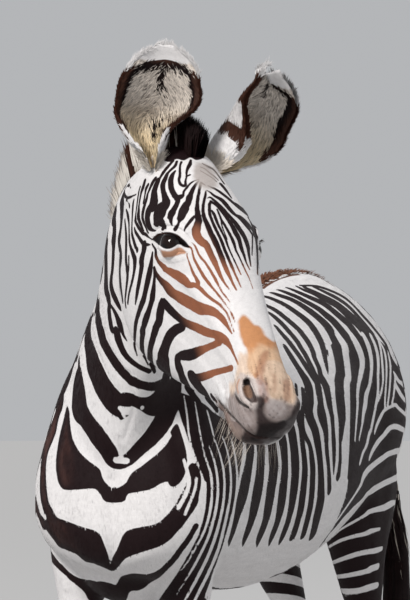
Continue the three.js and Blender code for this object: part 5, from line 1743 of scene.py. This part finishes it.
def make_ear_hair(look):
    rng = np.random.default_rng(18)
    for name, ear in EARS.items():
        hair = Hair()
        chart = 0.02 if name == "right" else 0.5

        def spots(k):
            """Places on the ear's own chart of the unwrap, inside or outside."""
            return np.stack((chart + 0.22 * k + 0.1 * (turn + 1), 0.02 + 0.45 * s), -1)

        # the hair that fills the ear
        count = look.tufts
        s = rng.uniform(0.03, 0.84, count)
        turn = rng.uniform(0.0, 0.97, count) ** 0.8 * rng.choice((-1, 1), count)
        here, up, wide, normal = ear_place(ear, s, turn, 1.0)
        inwards = -wide * np.sign(turn)[:, None]
        low = ease(0.5, 0.15, s)
        ways = up * (0.85 + 0.2 * low)[:, None] + inwards * (0.55 - 0.15 * low)[:, None] + normal * 0.28
        ways = ways + rng.normal(0, 0.14, (count, 3))
        length = look.length / MM * (1 + 0.85 * low) * rng.uniform(0.7, 1.2, count) * ease(0.0, 0.12, s + 0.04)
        tone = blend(look.grey, look.warm, ease(0.55, 0.15, s)[:, None])
        band, _, deep = ear_colours(s, turn, True, here)
        ink = np.where(band + rng.normal(0, 4, count) > 0, 5, -5)
        tone = tone * (1 - 0.55 * (rng.random(count) < 0.18))[:, None]
        hair.add(here - normal * 0.6, ways, normal, length, rng.uniform(1.6, 2.8, count), ink,
                 tone * rng.uniform(0.7, 1.15, (count, 1)), deep * rng.uniform(0.6, 1.2, (count, 1)), 2,
                 -inwards * 0.12, spots=spots(0))
        # the fringe of the rim
        count = RIM_TUFTS
        s = rng.uniform(0.12, 1.0, count)
        turn = rng.choice((-1, 1), count) * rng.uniform(0.93, 1.0, count)
        top = s > 0.95
        turn = np.where(top, rng.uniform(-1, 1, count), turn)
        here, up, wide, normal = ear_place(ear, s, turn, 0.0)
        normal = unit(normal * 0.3 + ear_place(ear, s, turn * 0, 1.0)[3])
        outward = wide * (np.sign(turn) * 0.30 * (1 - top))[:, None]
        white = ease(0.74, 0.77, s + rng.normal(0, 0.012, count))
        ways = up * 0.8 + outward + rng.normal(0, 0.16, (count, 3)) + normal * 0.1
        length = (10.0 + 6.0 * white) * rng.uniform(0.7, 1.25, count)
        ink = np.where((white > 0.5) | (s <= 0.3) | (s >= 0.78), -5, 5)
        hair.add(here, ways, normal, length, rng.uniform(1.8, 3.0, count), ink, shades(rng, WHITE, 0.85, 1.03, count),
                 shades(rng, BROWN, 0.5, 1.2, count), 2, spots=spots(1))
        # the back of the ear
        count = BACK_TUFTS
        s, turn = rng.uniform(0.05, 0.98, count), rng.uniform(-0.97, 0.97, count)
        here, up, _, normal = ear_place(ear, s, turn, 0.0)
        band, pale, dark = ear_colours(s, turn, False, here)
        ways = up + normal * 0.14 + rng.normal(0, 0.12, (count, 3))
        glow = ease(0.7, 0.95, np.maximum(np.abs(turn), s))[:, None]
        soft = unit(normal * (1 - 0.7 * glow) + ear_place(ear, s, turn * 0, 1.0)[3] * glow)
        hair.add(here - normal * 0.5, ways, soft, rng.uniform(7, 12, count), rng.uniform(2.2, 3.4, count), band,
                 pale * rng.uniform(0.86, 1.03, (count, 1)), dark * rng.uniform(0.6, 1.2, (count, 1)), 1, flat=0.3,
                 spots=spots(1))
        # the longer hair round its root
        count = ROOT_TUFTS
        s, turn = rng.uniform(0.0, 0.12, count), rng.uniform(-1, 1, count)
        here, up, _, normal = ear_place(ear, s, turn, 0.0)
        ways = up * 0.9 + normal * 0.25 + rng.normal(0, 0.18, (count, 3))
        hair.add(here - up * 8, ways, normal, rng.uniform(16, 28, count), rng.uniform(2.2, 3.4, count),
                 -5, shades(rng, CREAM, 0.85, 1.08, count), BROWN, 2, flat=0.35, spots=spots(1))
        hair.build(f"ear_hair_{name}", "ear_coat")


LASHES = 90
LASH_REACH = 30.0  # from the middle of the eye


def make_whiskers(look):
    rng = np.random.default_rng(19)
    hair = Hair()
    count = look.number
    side = rng.choice((-1, 1), count)
    local = np.stack((side * rng.uniform(8, 52, count), -rng.uniform(545, 640, count), np.zeros(count)), -1)
    local[:, 2] = np.where(rng.random(count) < 0.55, -168, -140)
    out = np.stack((side * rng.uniform(0.1, 0.9, count), -rng.uniform(0.0, 0.8, count), -np.ones(count)), -1)
    ways = from_head(unit(out)) - POLL - (0, 0, 0.5)
    length, width = look.length / MM * rng.uniform(0.45, 1.25, count), rng.uniform(0.45, 0.75, count)
    ink = np.where(rng.random(count) < 0.2, 5, -5)
    bend = (0.0, 0.0, -0.35) + rng.normal(0, 0.1, (count, 3))
    hair.add(from_head(local), ways, straight((0.0, -1.0, 0.1), count), length, width, ink, srgb(0.72, 0.68, 0.64),
             BROWN, 3, bend, 0.8)
    count = LASHES
    middle = eye_middle(-1)
    away = middle - CAMERA_PLACE
    slit = dense(np.column_stack((parse(EYE_SLIT)[:11], np.zeros(11))), 0.4)[:, :2]
    for s in (-1, 1):
        pick = rng.integers(2, len(slit) - 3, count)
        roots = []
        for x, y in slit[pick]:
            ray = sight_line(x, y - 0.2)
            gap = max(LASH_REACH**2 - (away @ away - (away @ ray) ** 2), 0) ** 0.5
            roots.append(CAMERA_PLACE + ray * (away @ ray - gap))
        roots = np.array(roots)
        n = unit(roots - middle)
        ways = n * 0.9 - np.array((0, 0, 0.35)) + VIEW_RIGHT * ((slit[pick][:, :1] - 168) / 30)
        ways = ways + rng.normal(0, 0.12, (count, 3))
        if s > 0:
            roots, ways, n = mirrored(roots), mirrored(ways + POLL) - POLL, mirrored(n + POLL) - POLL
        hair.add(roots, ways, n, rng.uniform(7, 13, count), rng.uniform(0.7, 1.1, count), 5, WHITE,
                 np.array(BROWN) * 0.7, 2, np.array((0, 0, -0.25)), 0.7)
    hair.build("whiskers", "coat")


# ---- Settings -------------------------------------------------------------------------------
def colour(name, text, value):
    return FloatVectorProperty(name=name, description=text, default=value, size=3, subtype="COLOR", min=0.0, max=1.0)


def length(name, text, value, low, high):
    return FloatProperty(name=name, description=text, default=value, min=low, max=high, unit="LENGTH", precision=4)


def number(name, text, value, high):
    return IntProperty(name=name, description=text, default=value, min=100, max=high)


def power(name, text, value):
    return FloatProperty(name=name, description=text, default=value, min=0.0, unit="POWER")


class ZebraStage(PropertyGroup):
    """The floor, the lights and the sky."""

    floor: colour("Floor", "Colour of the plain floor", srgb(0.72, 0.72, 0.72))
    key: FloatProperty(name="Key light", description="Strength of the main light", default=3.0, min=0.0, max=20.0)
    softness: FloatProperty(
        name="Key softness", description="Width of the main light in the sky", default=math.radians(13), min=0.0,
        max=1.5, subtype="ANGLE",
    )
    fill: power("Fill light", "Power of the light from the left", 40.0)
    rim: power("Rim light", "Power of the light from behind", 90.0)
    sky: FloatProperty(name="Sky", description="Strength of the even light all round", default=0.47, min=0.0, max=5.0)


class ZebraSkin(PropertyGroup):
    """The colours of the markings, on the skin and on the coat."""

    pale: colour("Pale stripes", "Colour of the white hair", WHITE)
    dark: colour("Dark stripes", "Colour of the black hair", INK)
    chestnut: colour("Face stripes", "Colour of the stripes along the nose and the cheeks", CHESTNUT)


class ZebraCoat(PropertyGroup):
    """The short hair of the body."""

    tufts: number("Tufts", "Number of short tufts", 150000, 190000)
    length: length("Length", "Length of a tuft on the trunk", 0.011, 0.002, 0.03)
    width: length("Width", "Width of a tuft on the trunk", 0.0026, 0.0005, 0.006)


class ZebraRidge(PropertyGroup):
    """The longer hair along the spine and at the fetlocks."""

    locks: number("Locks", "Number of locks along the spine", 5600, 12000)
    length: length("Length", "Length of a lock on the spine", 0.028, 0.005, 0.05)
    brown: colour("Brown", "Colour of the ridge", RIDGE_BROWN)


class ZebraEarHair(PropertyGroup):
    """The hair inside the ears and round their rims."""

    tufts: number("Tufts", "Number of tufts inside each ear", 6500, 9000)
    length: length("Length", "Length of a tuft inside an ear", 0.015, 0.004, 0.03)
    grey: colour("Upper hair", "Colour of the hair inside the upper ear", srgb(0.86, 0.82, 0.78))
    warm: colour("Lower hair", "Colour of the hair inside the lower ear", srgb(0.92, 0.84, 0.70))


class ZebraWhiskers(PropertyGroup):
    """The whiskers of the chin and the lips."""

    number: number("Number", "Number of whiskers", 180, 1000)
    length: length("Length", "Length of a whisker", 0.044, 0.01, 0.08)


class ZebraMane(PropertyGroup):
    """The upright mane and the forelock."""

    height: length("Height", "Height of the mane over the neck", 0.078, 0.03, 0.1)
    locks: number("Locks", "Number of locks", 5200, 12000)
    brown: colour("Brown", "Colour of the mane's dark bands and tips", BROWN)


class ZebraTail(PropertyGroup):
    """The tuft of the tail."""

    locks: number("Locks", "Number of locks", 1500, 6000)
    dark: colour("Dark", "Colour of the tail's tuft", NEAR_BLACK)


class ZebraHooves(PropertyGroup):
    """The horn of the hooves."""

    dark: colour("Dark horn", "Colour of the dark rings of horn", srgb(0.17, 0.14, 0.12))
    pale: colour("Pale horn", "Colour of the pale rings of horn", srgb(0.38, 0.33, 0.28))


class ZebraEyes(PropertyGroup):
    """The eyeballs."""

    radius: length("Radius", "Radius of an eyeball", 0.0264, 0.02, 0.027)
    white: colour("White", "Colour of the eye round the iris", srgb(0.05, 0.03, 0.025))
    iris: colour("Iris", "Colour of the iris", srgb(0.09, 0.05, 0.035))


# ---- Operators ------------------------------------------------------------------------------
class ZEBRA_OT_stage(Operator):
    """Set up the camera, the floor and the lights"""

    bl_idname = "zebra.stage"
    bl_label = "Stage"

    def execute(self, context):
        make_stage(context.scene.zebra_stage)
        return {"FINISHED"}


class ZEBRA_OT_eyes(Operator):
    """Make the two eyeballs"""

    bl_idname = "zebra.eyes"
    bl_label = "Eyes"

    def execute(self, context):
        make_eyes(context.scene.zebra_eyes)
        return {"FINISHED"}


class ZEBRA_OT_skin(Operator):
    """Make the skin with its folds, ears and markings"""

    bl_idname = "zebra.skin"
    bl_label = "Skin"

    def execute(self, context):
        make_skin(context.scene.zebra_skin)
        return {"FINISHED"}


class ZEBRA_OT_hooves(Operator):
    """Make the four hooves"""

    bl_idname = "zebra.hooves"
    bl_label = "Hooves"

    def execute(self, context):
        make_hooves(context.scene.zebra_hooves)
        return {"FINISHED"}


class ZEBRA_OT_mane(Operator):
    """Make the mane and the forelock on the finished skin"""

    bl_idname = "zebra.mane"
    bl_label = "Mane"

    def execute(self, context):
        make_mane(built("tree"), context.scene.zebra_mane)
        return {"FINISHED"}


class ZEBRA_OT_tail(Operator):
    """Make the tuft of the tail"""

    bl_idname = "zebra.tail"
    bl_label = "Tail"

    def execute(self, context):
        make_tail(context.scene.zebra_tail)
        return {"FINISHED"}


class ZEBRA_OT_coat(Operator):
    """Grow the short tufts of the coat on the finished skin"""

    bl_idname = "zebra.coat"
    bl_label = "Coat"

    def execute(self, context):
        make_coat(context.scene.zebra_coat, *built("coat"))
        return {"FINISHED"}


class ZEBRA_OT_ridge(Operator):
    """Grow the hair of the spine and the fetlocks on the finished skin"""

    bl_idname = "zebra.ridge"
    bl_label = "Ridge hair"

    def execute(self, context):
        points, _, normals = built("coat")[:3]
        make_ridge(context.scene.zebra_ridge, points, normals)
        return {"FINISHED"}


class ZEBRA_OT_ear_hair(Operator):
    """Grow the hair of the ears"""

    bl_idname = "zebra.ear_hair"
    bl_label = "Ear hair"

    def execute(self, context):
        make_ear_hair(context.scene.zebra_ear_hair)
        return {"FINISHED"}


class ZEBRA_OT_whiskers(Operator):
    """Grow the whiskers and the eyelashes"""

    bl_idname = "zebra.whiskers"
    bl_label = "Whiskers"

    def execute(self, context):
        make_whiskers(context.scene.zebra_whiskers)
        return {"FINISHED"}


def built(key):
    """What the skin's operator made; the pieces that need it can't be made before it."""
    if key not in BUILT:
        raise RuntimeError("Make the skin first")
    return BUILT[key]


# The pieces in the order in which they are made, with their settings on the scene.
PIECES = {
    "stage": (ZEBRA_OT_stage, ZebraStage),
    "eyes": (ZEBRA_OT_eyes, ZebraEyes),
    "skin": (ZEBRA_OT_skin, ZebraSkin),
    "hooves": (ZEBRA_OT_hooves, ZebraHooves),
    "mane": (ZEBRA_OT_mane, ZebraMane),
    "tail": (ZEBRA_OT_tail, ZebraTail),
    "coat": (ZEBRA_OT_coat, ZebraCoat),
    "ridge": (ZEBRA_OT_ridge, ZebraRidge),
    "ear_hair": (ZEBRA_OT_ear_hair, ZebraEarHair),
    "whiskers": (ZEBRA_OT_whiskers, ZebraWhiskers),
}


class ZEBRA_PT_pieces(Panel):
    """The zebra's pieces with their sizes and colours"""

    bl_idname = "ZEBRA_PT_pieces"
    bl_label = "Zebra"
    bl_space_type = "VIEW_3D"
    bl_region_type = "UI"
    bl_category = "Zebra"

    def draw(self, context):
        for key, (operator, group) in PIECES.items():
            box = self.layout.box()
            box.operator(operator.bl_idname)
            for name in group.__annotations__:
                box.prop(getattr(context.scene, "zebra_" + key), name)


CLASSES = (*(group for _, group in PIECES.values()), *(operator for operator, _ in PIECES.values()), ZEBRA_PT_pieces)


def register():
    for one in CLASSES:
        bpy.utils.register_class(one)
    for key, (_, group) in PIECES.items():
        setattr(bpy.types.Scene, "zebra_" + key, PointerProperty(type=group))


def unregister():
    for key in PIECES:
        delattr(bpy.types.Scene, "zebra_" + key)
    for one in reversed(CLASSES):
        bpy.utils.unregister_class(one)


def main():
    register()
    hair_materials()
    for key in PIECES:
        getattr(bpy.ops.zebra, key)()


if __name__ == "__main__":
    main()
